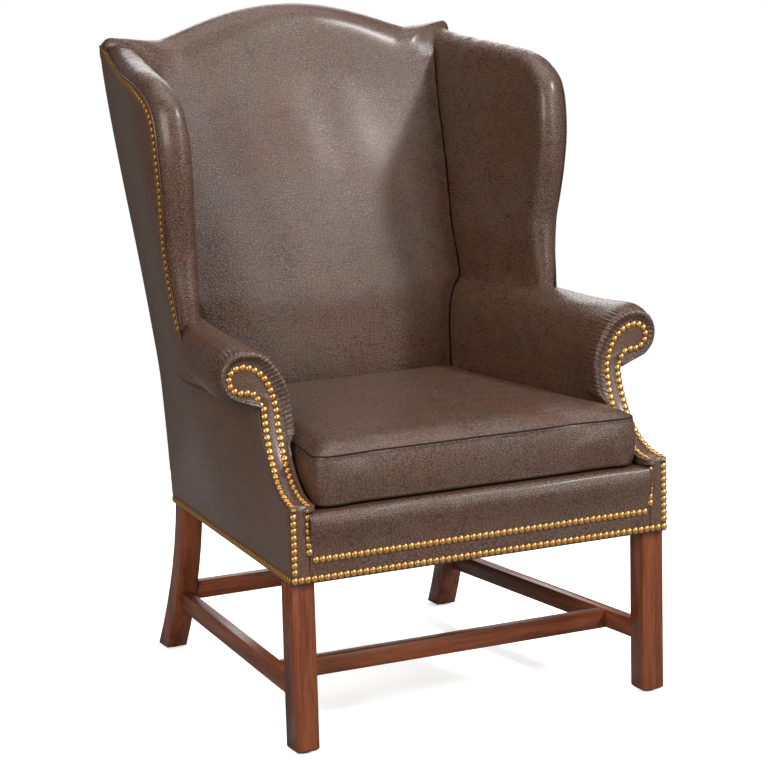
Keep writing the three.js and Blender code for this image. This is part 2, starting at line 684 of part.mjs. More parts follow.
const innerRises = [0, 0.06, 0.1, 0.16, 0.25, 0.4, 0.6, 0.8, 1];
const innerTurns = [20, 40, 60, 78];
const outerTurns = [90, 65, 40, 15, -15, -45, -75];
const radians = THREE.MathUtils.degToRad;
const armRowCount = innerRises.length + innerTurns.length + outerTurns.length + 1;
const armBaseHeight = deckTop + seamGap * 2.5;
function armProfile(y, k) {
  const top = armTopAt(y);
  if (k < innerRises.length) {
    return { x: armInner(y), z: mix(armBaseHeight, rollStart, innerRises[k]) };
  }
  const j = k - innerRises.length;
  if (j < innerTurns.length) {
    const turn = radians(innerTurns[j]);
    const x = top.x - (top.x - armInner(y)) * Math.cos(turn);
    return { x, z: rollStart + (top.z - rollStart) * Math.sin(turn) };
  }
  const share = THREE.MathUtils.clamp((y - armSetback) / (rollEndY - armSetback), 0, 1);
  const lift = liftCurve(share);
  const axis = mix(rollAxisHeight.front, rollAxisHeight.wing, lift);
  const under = mix(rollUnderHeight.front, rollUnderHeight.wing, lift);
  const inside = outerX(y, axis) - wingOuterInset;
  const reach = mix(rollReach.front, Math.min(inside, rollReach.wing), rollCurve(share));
  const m = j - innerTurns.length;
  if (m < outerTurns.length) {
    const turn = radians(outerTurns[m]);
    const high = Math.sin(turn) > 0 ? top.z - axis : axis - under;
    const out = reach - top.x;
    const curl = Math.sin(turn) > 0 ? top.x : mix(top.x, inside - out / 2, share ** 4);
    return { x: curl + (reach - curl) * Math.cos(turn), z: axis + high * Math.sin(turn) };
  }
  const seam = mix(rollSeamHeight.front, rollSeamHeight.wing, lift);
  const flap = mix(leather + gap * 2, -wingOuterInset, share ** 4);
  return { x: outerX(y, seam) + flap, z: seam };
}

const underRows = 4;
const underLipShare = 0.5;
function armPoint(y, k, inset) {
  const [here, before, after] = [k, Math.max(k - 1, 0), Math.min(k + 1, armRowCount - 1)]
    .map((row) => armProfile(y, row));
  const along = new THREE.Vector2(after.x - before.x, after.z - before.z).normalize();
  const turned = k > armRowCount - underRows ? inset * underLipShare : inset;
  const x = here.x + along.y * turned;
  const z = here.z - along.x * turned;
  const limit = y > wingFrontY ? wingSeamHeight - seamGap * 2 : Infinity;
  return new THREE.Vector3(x, y, Math.min(z, limit));
}

// The leather turns over a soft lip at the arm front, round the facing.
const lipInset = [1, 0.625, 0.15, 0].map((share) => lipReach * share);
const lipForward = [1, -5, -4, 6];
const armFront = (z) => sweepY(Math.min(z, scrollCentre.z));
const armRear = (z) => backLine(Math.min(z, wingSeamHeight)) + tuck;
const armRows = Array.from({ length: armRowCount }, (_, k) => k);
const armRunShares = [0.05, 0.14, 0.28, 0.42, 0.53, 0.585, 0.6, 0.8, 1];
function armGridFrom(lipAt, runs) {
  return armRows.map((k) => {
    const front = armFront(armProfile(armSetback, k).z);
    const body = runs.map((s) => {
      const y = mix(front + lipForward[3], armRear(armProfile(wingFrontY, k).z), s);
      return armPoint(y, k, 0);
    });
    return [...lipAt(front, k), ...body];
  });
}

// Behind the wing's front the arm stops at the wing's inside face, so its post can pass.
const wingSeatStart = wingFrontY + seamGap * 2;
function wingSeat(hand) {
  return barThrough([wingSeatStart, seatDepth].map((y) => {
    const inner = wingInnerX(y, wingSeamHeight) + leather;
    const outer = outerX(y, wingSeamHeight) + overrun;
    return [[inner, underRollHeight], [outer, underRollHeight],
      [outer, wingSeamHeight + overrun], [inner, wingSeamHeight + overrun]]
      .map(([x, z]) => new THREE.Vector3(x * hand, y, z));
  }));
}
const armCoverGrid = armGridFrom(
  (front, k) => lipInset.map((inset, n) => armPoint(front + lipForward[n], k, inset)), armRunShares,
);
const sweptPad = sweptBehind(facingThick + seamGap * 2);
const armPadGrid = armGridFrom((front, k) => {
  const behind = sweptPad(armProfile(armSetback, k).z) + seamGap * 2;
  return [armPoint(Math.max(front + lipForward[3], behind), k, 0)];
}, armRunShares.slice(1));
for (const [side, hand] of sides) {
  const cover = handed(armCoverGrid, hand);
  const under = offset(cover, -leather * hand);
  place(`inside_arm_cover_${side}`, cut(solidBetween(cover, under), wingSeat(hand)), 'leather');
  const pad = handed(armPadGrid, hand);
  const padding = solidBetween(offset(pad, -(leather + seamGap) * hand),
    offset(pad, -(leather + gap + padThick) * hand));
  place(`arm_pad_${side}`, cut(padding, wingSeat(hand)), 'foam');
}

// Wings: the leather comes up the inside face, rolls over the front and top edge and is
// nailed down the outside. Rows follow the edge, columns go round the roll to the back.
const wingEdgeShares = [[0.947, 0.0015], [0.956, 0.0631], [0.965, 0.129], [0.972, 0.221],
  [0.952, 0.3303], [0.934, 0.4205], [0.927, 0.5038], [0.932, 0.5801], [0.949, 0.6513],
  [0.977, 0.7137], [1.033, 0.7623], [1.114, 0.797], [1.228, 0.8196], [1.367, 0.8334],
  [1.519, 0.8456], [1.646, 0.8569], [1.77, 0.8716]];
const wingEdge = wingEdgeShares
  .map(([y, z]) => new THREE.Vector2(wingFrontY * y, mix(wingSeamHeight, crestHeight, z)));
const wingRoll = 30;
const wingTurns = [27, 52, 80, 110, 140, 165, 180];
const wingFaces = [0.25, 0.5, 0.75, 1];
const cornerTopShare = 0.85;
const cornerPoint = (share) => {
  const z = mix(wingEdge[0].y, heightAt(cornerTopShare), share);
  return new THREE.Vector2(backLine(z) + tuck, z);
};
function wingInward(i) {
  const from = wingEdge[Math.max(i - 1, 0)];
  const to = wingEdge[Math.min(i + 1, wingEdge.length - 1)];
  const along = to.clone().sub(from).normalize();
  return i === 0 ? new THREE.Vector2(1, 0) : new THREE.Vector2(along.y, -along.x);
}
function wingRow(i) {
  const inward = wingInward(i);
  const edge = wingEdge[i];
  const row = wingTurns.map((degrees) => {
    const turn = radians(degrees);
    const at = edge.clone().addScaledVector(inward, wingRoll * (1 - Math.sin(turn)));
    const lateral = (wingWide(at.y) / 2) * (1 - Math.cos(turn));
    return new THREE.Vector3(outerX(at.x, at.y) - lateral, at.x, at.y);
  });
  const start = edge.clone().addScaledVector(inward, wingRoll);
  const corner = cornerPoint(i / (wingEdge.length - 1));
  const fade = 1 - (i / (wingEdge.length - 1)) ** 4;
  wingFaces.forEach((s) => {
    const at = start.clone().lerp(corner, s);
    const crown = wingCrown * fade * Math.sin(Math.PI * s);
    row.push(new THREE.Vector3(wingInnerX(at.x, at.y) - crown, at.x, at.y));
  });
  return row;
}
const wingGrid = wingEdge.map((_, i) => wingRow(i));
for (const [side, hand] of sides) {
  coverAndPad(`inside_wing_${side}`, wingGrid, hand, -1, padThick);
}

// Inside back: a crowned face that leans back, then the camel roll over the crest.
const earSetback = 30;
const earStart = 0.8;
const crownRise = 1.05;
const crownPower = 1.3;
const backPadShare = 0.95;
const backStart = deckTop + seamGap;
const backRowShares = [0, 0.11, 0.216, 0.29, 0.343, 0.382, 0.456, 0.576, 0.706, 0.846, 0.95, 1];
const backTurns = [20, 45, 70, 90, 110, 135, 160, 176];
const backColumns = [0, 0.03, 0.1, 0.2, 0.32, 0.44, 0.5, 0.56, 0.68, 0.8, 0.9, 0.97, 1];
const backEdge = 4;
const spreadStart = 12;
const spreadEnd = 88;
function backHalf(z) {
  const y = backLine(z) + tuck;
  if (z < wingSeamHeight) {
    const limits = armRows.slice(0, innerRises.length + innerTurns.length)
      .map((k) => armProfile(y, k));
    const above = limits.findIndex((p) => p.z >= z);
    if (above > 0) {
      const [a, b] = [limits[above - 1], limits[above]];
      return mix(a.x, b.x, (z - a.z) / (b.z - a.z)) - backEdge;
    }
    return limits[0].x - backEdge;
  }
  return wingInnerX(y, z) - backEdge;
}
function backPoint(share, u, turnDegrees) {
  const side = mix(-1, 1, u);
  const earX = Math.abs(side) * (earWidth / 2);
  const rollBase = rollEndHeight(earX);
  const ear = smooth((Math.abs(side) - earStart) / (1 - earStart));
  if (turnDegrees === 0) {
    const z = mix(backStart, rollBase, share);
    const swell = Math.sin(Math.PI * Math.min(1, share * crownRise)) ** crownPower;
    const crown = backCrown * (1 - side * side) * swell;
    return new THREE.Vector3(side * backHalf(z), backLine(z) - crown, z);
  }
  const turn = radians(turnDegrees);
  const z = rollBase + crestRoll * Math.sin(turn);
  const rear = rearLine(rollBase) - gap;
  const front = backLine(rollBase) + earSetback * ear * Math.min(1, turnDegrees / 60);
  const y = (front + rear) / 2 - ((rear - front) / 2) * Math.cos(turn);
  const wide = outerX(y, rollBase) - leather - seamGap;
  const spread = smooth((turnDegrees - spreadStart) / (spreadEnd - spreadStart));
  return new THREE.Vector3(side * mix(backHalf(rollBase), wide, spread), y, z);
}
const backRows = [...backRowShares.map((s) => [s, 0]), ...backTurns.map((t) => [1, t])];
const backGrid = backRows.map(([s, t]) => backColumns.map((u) => backPoint(s, u, t)));
place('inside_back_cover', solidBetween(backGrid, offset(backGrid, leather)), 'leather');
const backFaceGrid = backGrid.slice(0, backRowShares.length - 1)
  .map((row) => row.map((p) => new THREE.Vector3(p.x * backPadShare, p.y, p.z)));
function postFrontAt(z) {
  const i = legStations.findIndex((station) => station >= z);
  const [low, high] = [legStations[i - 1], legStations[i]];
  return mix(rearLegFrontAt(low), rearLegFrontAt(high), (z - low) / (high - low));
}
const webFront = (z) => postFrontAt(z) - gap - clothThick;
const padFront = offset(backFaceGrid, leather + gap);
const padRear = padFront.map((row) => row.map((p) => (
  new THREE.Vector3(p.x, webFront(Math.min(p.z, postTopHeight)) - seamGap * 2, p.z))));
place('back_pad', solidBetween(padFront, padRear), 'foam');

// Jute webbing is stretched over the front of the back posts.
const webWidth = 50;
const webBase = deckTop + webWidth;
const webTop = postTopHeight - webWidth / 2;
const webRows = 6;
const webColumns = 4;
function strap(rings) {
  return barThrough(rings.map(([x0, x1, z]) => [[x0, 0], [x1, 0], [x1, 1], [x0, 1]]
    .map(([x, back]) => new THREE.Vector3(x, webFront(z) + clothThick * back, z))));
}
const webStations = steps(8).map((s) => mix(webBase, webTop, s));
const webHalf = (z) => rearLegAt(z)[0].x + rearLegWidth / 3;
let webbing = null;
const addStrap = (geometry) => {
  const solid = manifoldOf(geometry);
  webbing = webbing ? webbing.add(solid) : solid;
};
steps(webRows - 1).forEach((s) => {
  const low = mix(webBase, webTop - webWidth, s);
  addStrap(strap(steps(3).map((t) => {
    const z = low + webWidth * t;
    return [-webHalf(low), webHalf(low), z];
  })));
});
steps(webColumns - 1).forEach((s) => {
  const x = mix(-1, 1, s) * (webHalf(webBase) - webWidth);
  addStrap(strap(webStations.map((z) => [x - webWidth / 2, x + webWidth / 2, z])));
});
place('back_webbing', geometryOf(webbing), 'jute');

// Arm fronts: a facing that starts at the hem, sweeps back and ends in the scroll.
const scrollNeckShare = 1.16;
const scrollShares = [-0.98, -0.85, -0.55, 0, 0.5, 0.85, 0.98];
const facingRows = [
  ...steps(3).map((s) => [mix(hemHeight, stepHeight, s), 0]),
  ...sweepShares.map((s) => [stepHeight + armSweepRise * s, 0]),
  [underRollHeight, 0],
  [scrollCentre.z - scrollRadius * scrollNeckShare, 0],
  ...scrollShares.map((s) => [scrollCentre.z + scrollRadius * s, 1]),
];
const facingColumns = steps(3);
const facingGrid = facingRows.map(([z, scroll], i) => facingColumns.map((s) => {
  const y = sweepY(z);
  const outer = sideBase(y) - gap;
  const level = (z - rollStart) / (scrollCentre.z + scrollRadius - rollStart);
  const lean = scroll ? 1 - Math.sqrt(Math.max(0, 1 - level * level)) : 0;
  const inner = mix(outer - facingWidth, scrollCentre.x, lean);
  const bulb = Math.sqrt(Math.max(0, 1 - ((z - scrollCentre.z) / scrollRadius) ** 2));
  const right = scroll ? scrollCentre.x + scrollRadius * bulb : outer;
  return new THREE.Vector3(mix(inner, right, s), y, z);
}));
for (const [side, hand] of sides) {
  const face = handed(facingGrid, hand);
  place(`arm_facing_${side}`, solidBetween(face, offset(face, facingThick * hand)), 'leather');
}

// Front border: leather over a padded lip, from the hem up and back over the rail.
const borderHalf = frontWidth / 2 - facingWidth - seamGap * 2;
const borderShares = [[-1, 0], [-1.05, 0.3], [-1.6, 0.65], [-2.1, 0.82], [-1.9, 0.92],
  [-1, 0.985], [0.9, 1], [3, 1], [6.3, 1]];
const borderGrid = gridOf(steps(8), borderShares, (u, [y, z]) => new THREE.Vector3(
  mix(-borderHalf, borderHalf, u), borderProud * y, mix(hemHeight, deckTop, z),
));
coverAndPad('front_border', borderGrid, 1, -1, borderPad);

// Hidden frame of the arms, wings and back.
const boardInset = leather + frameClearance + seamGap;
const padBack = (y) => armInner(y) + leather + gap + padThick + seamGap;
const postInner = (y, z) => Math.max(padBack(y), outerX(y, z) - boardInset - boardThick);
const postStart = facingThick + frameClearance;
const sweptPost = sweptBehind(postStart);
const postStations = [railTop + gap, stepHeight - postStart - gap,
  ...sweepShares.map((s) => stepHeight - postStart + (armSweepRise + postStart) * s),
  underRollHeight - boardThick];
const armPostRings = postStations.map((z) => {
  const y0 = sweptPost(z);
  const y1 = Math.max(y0 + postDepth, armSetback + postStart);
  return [[y0, 0], [y1, 0], [y1, 1], [y0, 1]].map(([y, out]) => new THREE.Vector3(
    out ? outerX(y, z) - boardInset : postInner(y, z), y, z,
  ));
});
const boardTop = underRollHeight;
const boardBase = boardTop - boardThick + gap;
const wingPostTop = heightAt(0.8);
const wingRailThick = 22;
const railSet = wingRoll + frameClearance * 2;
const wingPadBack = (y, z) => wingInnerX(y, z) + leather + gap + padThick + seamGap;
const wingPostStations = [0, 2, 4, 6, 8];
for (const [side, hand] of sides) {
  const turned = (rings) => rings.map((ring) => ring.map((p) => new THREE.Vector3(p.x * hand, p.y, p.z)));
  place(`arm_post_${side}`, barThrough(turned(armPostRings)), 'beech');
  const boardEnds = steps(4).map((s) => mix(armSetback + postStart, rearLegFrontAt(boardBase) - gap, s));
  place(`arm_board_${side}`, barThrough(turned(boardEnds.map((y) => {
    const [x0, x1] = [postInner(y, boardBase), outerX(y, boardBase) - boardInset];
    return [[x0, boardBase], [x1, boardBase], [x1, boardTop], [x0, boardTop]]
      .map(([x, z]) => new THREE.Vector3(x, y, z));
  }))), 'beech');
  const inner = (y, z) => Math.max(wingPadBack(y, z), outerX(y, z) - boardInset - boardThick);
  const postRings = [boardTop + gap, ...wingPostStations.map((i) => wingEdge[i].y), wingPostTop]
    .map((z) => {
      const y0 = wingFrontY + railSet;
      const y1 = y0 + postDepth;
      return [[y0, -1], [y1, -1], [y1, 1], [y0, 1]].map(([y, out]) => new THREE.Vector3(
        out < 0 ? inner(y, z) : outerX(y, z) - boardInset, y, z,
      ));
    });
  place(`wing_post_${side}`, barThrough(turned(postRings)), 'beech');
  const railRings = steps(5).map((s) => {
    const y = mix(wingFrontY + railSet, postFrontAt(wingPostTop) - seamGap, s);
    return [[-1, 0], [1, 0], [1, 1], [-1, 1]].map(([out, up]) => {
      const z = wingPostTop + gap + wingRailThick * up;
      return new THREE.Vector3(out < 0 ? inner(y, z) : outerX(y, z) - boardInset, y, z);
    });
  });
  place(`wing_rail_${side}`, barThrough(turned(railRings)), 'beech');
}

// The crest rail stands on the back posts and follows the hump.
const crestBase = postTopHeight + gap;
const crestStations = steps(16).map((s) => mix(-1, 1, s));
place('crest_rail', barThrough(crestStations.map((side) => {
  const x = side * (postOuterX(postTopHeight) - frameClearance * 2);
  const top = rollEndHeight(x);
  const y1 = rearLine(crestBase) - leather - frameClearance;
  const y0 = y1 - railThick;
  return [[y0, crestBase], [y1, crestBase], [y1, top], [y0, top]]
    .map(([y, z]) => new THREE.Vector3(x, y, z));
})), 'beech');
const lowerRailBase = deckTop + railThick;
const lowerRailBack = Math.min(postBack(lowerRailBase), postBack(lowerRailBase + crestRailHeight));
const lowerHalf = Math.min(rearInner(lowerRailBase), rearInner(lowerRailBase + crestRailHeight));
place('lower_back_rail', box(-lowerHalf, lowerHalf, lowerRailBack - backRailThick, lowerRailBack,
  lowerRailBase, lowerRailBase + crestRailHeight), 'beech');

// The origin is under the middle of the chair's overall box.
const whole = new THREE.Box3().setFromObject(chair);
chair.position.y = -(whole.min.y + whole.max.y) / 2;
chair.updateMatrixWorld(true);

export default chair;
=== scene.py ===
"""A wingback armchair in dark leather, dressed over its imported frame.

Every surface is worked out with numpy in millimetres, from the front legs' face backwards,
across from the middle and up from the floor, and is put into metres when its mesh is made.
"""
import math
import bpy
import numpy as np
from mathutils import Matrix, Vector
from mathutils.bvhtree import BVHTree


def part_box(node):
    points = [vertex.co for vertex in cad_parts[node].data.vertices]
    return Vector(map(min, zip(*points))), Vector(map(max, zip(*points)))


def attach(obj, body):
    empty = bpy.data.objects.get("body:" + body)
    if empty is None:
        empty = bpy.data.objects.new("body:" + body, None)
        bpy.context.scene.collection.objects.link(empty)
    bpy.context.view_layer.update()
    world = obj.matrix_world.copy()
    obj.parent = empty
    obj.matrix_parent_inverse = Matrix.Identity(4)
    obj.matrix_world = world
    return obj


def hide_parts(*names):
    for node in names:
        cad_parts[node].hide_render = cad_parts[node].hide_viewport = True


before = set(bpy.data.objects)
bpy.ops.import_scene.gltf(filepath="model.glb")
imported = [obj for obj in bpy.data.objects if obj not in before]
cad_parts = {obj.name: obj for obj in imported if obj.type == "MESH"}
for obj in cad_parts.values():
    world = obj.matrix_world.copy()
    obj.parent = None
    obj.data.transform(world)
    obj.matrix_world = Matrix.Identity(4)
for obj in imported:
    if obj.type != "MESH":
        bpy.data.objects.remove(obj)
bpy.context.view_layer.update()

bl_info = {
    "name": "Wingback Armchair",
    "version": (1, 0, 0),
    "blender": (4, 5, 0),
    "location": "View3D > Sidebar > Armchair",
    "description": "Upholsters and finishes a wingback armchair over its frame",
    "category": "Object",
}

MILLI = 0.001
SIDES = (("left", -1), ("right", 1))


def node_mm(name):
    """A frame node's lowest and highest corner in millimetres."""
    low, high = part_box(name)
    return np.array(low) / MILLI, np.array(high) / MILLI


# Sizes read off the frame
FACE_GAP = 2.3
FRONT = node_mm("front_leg_left")[0][1] - FACE_GAP
HEM = node_mm("outside_panel_left")[0][2]
CREST = node_mm("inside_back_cover")[1][2]
DECK = node_mm("deck_cover")[1][2]
CUSHION_LOW, CUSHION_HIGH = node_mm("seat_cushion_cover")

# Sizes of the upholstery, in millimetres
FRONT_WIDTH, REAR_WIDTH, DEPTH = 690.0, 574.0, 640.0
SHOULDER, EAR, EAR_WIDTH = 1101.0, 1108.0, 676.0
BACK_RAKE, BACK_THICK, BACK_CROWN = 146.0, 102.0, 16.0
WING_SPLAY, BACK_SPLAY, WING_THICK, WING_CROWN = 90.0, 66.0, 60.0, 7.0
ARM_FRONT, STEP, SWEEP_RISE, ARM_WALL = 122.0, 409.0, 161.0, 43.0
PROUD, FACING_WIDTH, FACING_TURN = 6.5, 31.0, 526.0
SCROLL_X, SCROLL_Z, SCROLL_RADIUS = 363.0, 593.0, 24.0
ROLL_START, WING_FRONT, ROLL_END, WING_SEAM = 540.0, 395.0, 374.0, 652.0
UNDER_ROLL, WING_ROLL, CREST_ROLL = 545.0, 30.0, 38.0
LEATHER, TUCK = 2.0, 14.0
FIRM_FILL, WING_FILL = 0.8, 0.75

# The arm: its crown line at its front, at the wing and at the back, then the front and
# rear heights of the roll's axis, underside and seam, and how far out the roll reaches
ARM_TOP = ((362, 345, 302), (638, 651, 655))
ROLL_HEIGHTS = ((597, 628), (557, 610), (549, 596))
ROLL_OUT, ROLL_BEHIND = 402, 366
SEAM_SHORT, PANEL_SHORT = 3.5, 3

# The arm's front: how far behind its line the lip starts and how proud of the facing it
# ends, how far back the lip and the outer roll swell, and where its gathers lie
LIP_SET, LIP_PROUD, LIP_FADE = 1.5, 0.9, 46
SWELL_START, SWELL_AT, SWELL_FADE = 16, 35, 70
GATHER_AT, GATHER_FADE, GATHER_PITCH = 6, 13, 1.25
HANG_PITCH, HANG_DEPTH, HANG_START = 26, 0.5, 60

# The wing and the crest
WING_CORNER, EAR_KNOTS = 1023.3, 2
CREST_END, FACE_LENGTH = 0.955, 700
CREST_PROUD, CREST_BULGE, EAR_FORWARD = 1.2, 2.6, 30
LOOSE_WING, LOOSE_BACK, LOOSE_EDGE = 0.7, 0.7, 0.5

# Clearances and paddings of the sheets that are nailed down
SEAM_EASE, FACING_PAD, BACK_SLACK, PANEL_SLACK = 0.3, 1.6, 0.5, 0.35
PANEL_TOP = 1093

# The sheets under the cushion: front and rear ends and how far in from the side they lie
SEAT_EASE, CAMBRIC_EASE = 3.0, 16.3
BURLAP_ENDS, DECK_ENDS, CAMBRIC_ENDS = (42.6, 569.8), (41.4, 569.8), (54.3, 586.3)
BURLAP_TOP, SPRING_PITCH = 376.8, 96.0
JUTE_THICK, CAMBRIC_THICK = 1.2, 0.9

# The cushion
CUSHION_CORNER, CUSHION_CROWN_DROP, CUSHION_LIFT = 22.0, 22.0, 0.3
CUSHION_SHARES = np.array([0.02, 0.25, 0.5, 0.7, 0.84, 0.93, 0.97, 0.992])
CUSHION_VOXEL, CUSHION_FRAMES, CUSHION_MOST = 0.0055, 20, 0.010
# The seams: the radius of the near-black bead of painted shade laid along each, then the lift and
# width of the ridge under it
SEAM_RADIUS, SEAM_RIDGE, SEAM_WIDTH = 0.0016, 0.0020, 3.6

# The nails: height over the hem and half width of the two front rows, then how far in
# from the chair's side the facing's rows run
FRONT_ROWS = ((37, 303), (7, 340.5))
HEM_ROW, OUTER_ROW, INNER_ROW, INNER_ROW_HIGH = 7, 5.6, 31.5, 26.2
OUTER_ROW_LOW, INNER_ROW_LOW = 18.5, 48.5
SWEPT_SHARE = 0.93


def mix(a, b, s):
    """From a to b as s goes from 0 to 1: a + (b - a) s."""
    return a + (b - a) * s


def smooth(s):
    """The cubic step: 0 below 0, 1 above 1, level at both ends."""
    s = np.clip(s, 0, 1)
    return s * s * (3 - 2 * s)


def ramp(value, start, reach):
    """The cubic step from 0 at start up to 1 after reach."""
    return smooth((value - start) / reach)


def hill(value, middle, reach):
    """A bell curve of height 1 about the middle: exp(-((value - middle) / reach)^2)."""
    return np.exp(-((value - middle) / reach) ** 2)


def windowed(values, width, ends="edge"):
    """Values along a line averaged under a Hann window of an odd width."""
    kernel = np.hanning(width) / np.hanning(width).sum()
    return np.convolve(np.pad(values, width // 2, mode=ends), kernel, "valid")


def unit(vectors):
    """Vectors at length 1."""
    return vectors / np.maximum(np.linalg.norm(vectors, axis=-1, keepdims=True), 1e-12)


def run_along(path):
    """The length of a path up to each of its points."""
    return np.concatenate([[0], np.cumsum(np.linalg.norm(np.diff(path, axis=0), axis=1))])


def read_at(stops, run, table):
    """A table's columns read at stops along its run."""
    return np.stack([np.interp(stops, run, column) for column in table.T], 1)


def curve_through(pairs):
    """A cubic through (run, size) pairs, each knot's slope the harmonic mean of its two chords."""
    runs, sizes = np.array(pairs, float).T
    slope = np.diff(sizes) / np.diff(runs)
    product, total = slope[:-1] * slope[1:], slope[:-1] + slope[1:]
    inner = np.divide(2 * product, total, out=np.zeros_like(total), where=product > 0)
    bend = np.concatenate([slope[:1], inner, slope[-1:]])

    def at(run):
        t = np.clip(run, runs[0], runs[-1])
        i = np.clip(np.searchsorted(runs, t, side="right") - 1, 0, len(slope) - 1)
        wide = runs[i + 1] - runs[i]
        s = (t - runs[i]) / wide
        early, late = s * (1 - s) ** 2 * wide * bend[i], s * s * (1 - s) * wide * bend[i + 1]
        return mix(sizes[i], sizes[i + 1], s * s * (3 - 2 * s)) + early - late
    return at


def ripple(run, seed, waves=5):
    """A wavering line: sines of rising pitch and falling size with phases set by the seed."""
    phases = np.random.default_rng(seed).uniform(0, 2 * math.pi, waves)
    total = np.zeros_like(np.asarray(run, float))
    for k, phase in enumerate(phases):
        total = total + np.sin(run * (1 + 0.62 * k) + phase) / (1 + 0.45 * k)
    return total / 1.6


def height_share(z):
    """How far up from the hem to the crest a height lies."""
    return (z - HEM) / (CREST - HEM)


rake_curve = curve_through([
    (0, 0), (0.134, -0.01), (0.249, 0), (0.379, 0.14), (0.519, 0.355), (0.648, 0.59),
    (0.78, 0.81), (0.87, 0.92), (0.945, 0.966), (1, 1)])
thickness_curve = curve_through([
    (0, 0.66), (0.24, 0.67), (0.43, 0.87), (0.67, 1), (0.89, 0.93), (1, 0.9)])
wing_flare_curve = curve_through([
    (0, 0), (0.387, 0.578), (0.449, 0.644), (0.55, 0.744), (0.664, 0.878), (0.756, 0.978),
    (0.827, 1), (1, 1)])
rear_flare_curve = curve_through([
    (0, 0), (0.249, 0.2), (0.449, 0.42), (0.664, 0.67), (0.827, 0.85), (0.945, 0.965), (1, 1)])
wing_thick_curve = curve_through([(0, 0.75), (0.42, 0.77), (0.55, 1), (0.75, 1.05), (1, 0.97)])


def rear_line(z):
    """The back of the chair in the drafting frame: the depth and the rake."""
    return DEPTH + BACK_RAKE * rake_curve(height_share(z))


def back_line(z):
    """The inside back's face: its thickness ahead of the rear line."""
    return rear_line(z) - BACK_THICK * thickness_curve(height_share(z))


def side_base(y):
    """The side's plan: straight from the front's half width to the rear's."""
    return FRONT_WIDTH / 2 - (FRONT_WIDTH - REAR_WIDTH) / 2 * y / DEPTH


def outer_x(y, z):
    """The outside face: tapered in plan, flaring to the wing's front and the back's corners."""
    share = y / rear_line(z)
    front = WING_SPLAY * wing_flare_curve(height_share(z))
    rear = BACK_SPLAY * rear_flare_curve(height_share(z))
    rising = front * ramp(share, 0.15, 0.45)
    return side_base(y) + np.where(
        share < 0.6, rising, mix(front, rear, ramp(share, 0.6, 0.4)))


def crest_line(x):
    """The camel crest: a power hump over the middle and a small rise to each ear."""
    share = np.abs(x) / (EAR_WIDTH / 2)
    hump = np.maximum(0, 1 - (share / 0.7) ** 2) ** 1.25
    return SHOULDER + (CREST - SHOULDER) * hump + (EAR - SHOULDER) * ramp(share, 0.7, 0.3)


def sweep_y(z):
    """The arm front: upright to the step, then a quarter ellipse back to the scroll."""
    rise = np.clip((z - STEP) / SWEEP_RISE, 0, 1)
    return np.where(z <= STEP, -PROUD, mix(-PROUD, ARM_FRONT, np.sqrt(1 - (1 - rise) ** 2)))


def wing_wide(z):
    """How thick a wing is at a height."""
    return WING_THICK * wing_thick_curve(height_share(z))


def wing_inner_x(y, z):
    """A wing's inside face: its thickness in from the outside face."""
    return outer_x(y, z) - wing_wide(z)


# The panel's front edge runs up behind the facing, under the roll and round the wing.
PANEL_KNOTS = np.array([
    (UNDER_ROLL, 134.3), (547, 165.9), (549, 237), (552.1, 312), (570.4, 353.9), (592.2, 374.1),
    (628.8, 382.4), (675, 391.8), (716.8, 399.7), (762.9, 402.1), (817.8, 393), (863.1, 385.9),
    (904.9, 383.2), (943.2, 385.1), (978.9, 391), (1005.1, 402.1), (1027.7, 428.6),
    (1046, 482.7), (1057.3, 616.2), (1070.4, 683.4), (PANEL_TOP, 754.5)])
PANEL_UNDER_ROLL = PANEL_KNOTS[1:7]
panel_curve = curve_through(PANEL_KNOTS)


def panel_front(z):
    """The panel's front edge: behind the facing, then along its knots."""
    return np.where(z < UNDER_ROLL, sweep_y(z) + 6, panel_curve(z))


def metres(x, y, z, hand=1):
    """Millimetres of the drafting frame as points in metres of the chair's frame."""
    x, y, z = np.broadcast_arrays(x * hand, y + FRONT, z)
    return np.stack((x, y, z), -1) * MILLI


def normals_of(grid):
    """Unit normals of a grid of points: the cross product of its two sets of differences."""
    along, across = np.gradient(grid, axis=0), np.gradient(grid, axis=1)
    return unit(np.cross(along, across))


def grid_faces(rows, columns, start=0, wrap=False):
    """Quads between the neighbours of a grid, as vertex numbers."""
    j, i = np.arange(columns if wrap else columns - 1), np.arange(rows - 1)[:, None]
    low, right = i * columns + start, (j + 1) % columns
    high = low + columns
    return np.stack((low + j, low + right, high + right, high + j), -1).reshape(-1, 4)


def eased(grid, start, reach, times):
    """Softens a grid's rows about one row: each pass moves a point towards the mean of its
    neighbours before and after, by a share that fades with distance from the row."""
    row = np.arange(len(grid))
    share = 0.5 * np.exp(-((row - start) / reach) ** 2)[1:-1, None, None]
    for _ in range(times):
        middle = (grid[:-2] + grid[2:]) / 2
        grid = np.concatenate([grid[:1], mix(grid[1:-1], middle, share), grid[-1:]])
    return grid


def shade(mesh, smooth_faces=True):
    """Shades a mesh's faces smooth, or flat."""
    mesh.polygons.foreach_set("use_smooth", np.full(len(mesh.polygons), smooth_faces))


def mesh_piece(name, points, faces, finish, smooth_faces=True):
    """A mesh object at the origin, its place in its vertices."""
    mesh = bpy.data.meshes.new(name)
    mesh.from_pydata(points.reshape(-1, 3).tolist(), [], [list(f) for f in faces])
    mesh.validate()
    mesh.update()
    shade(mesh, smooth_faces)
    mesh.materials.append(finish)
    piece = bpy.data.objects.new(name, mesh)
    bpy.context.scene.collection.objects.link(piece)
    return piece


def signed_volume(points, faces):
    """A closed mesh's volume, from its faces' fans, negative if it is inside out."""
    a, b, c, d = (points[faces[:, k]] for k in range(4))
    fan = np.einsum("ij,ij->i", a, np.cross(b, c)) + np.einsum("ij,ij->i", a, np.cross(c, d))
    return fan.sum() / 6


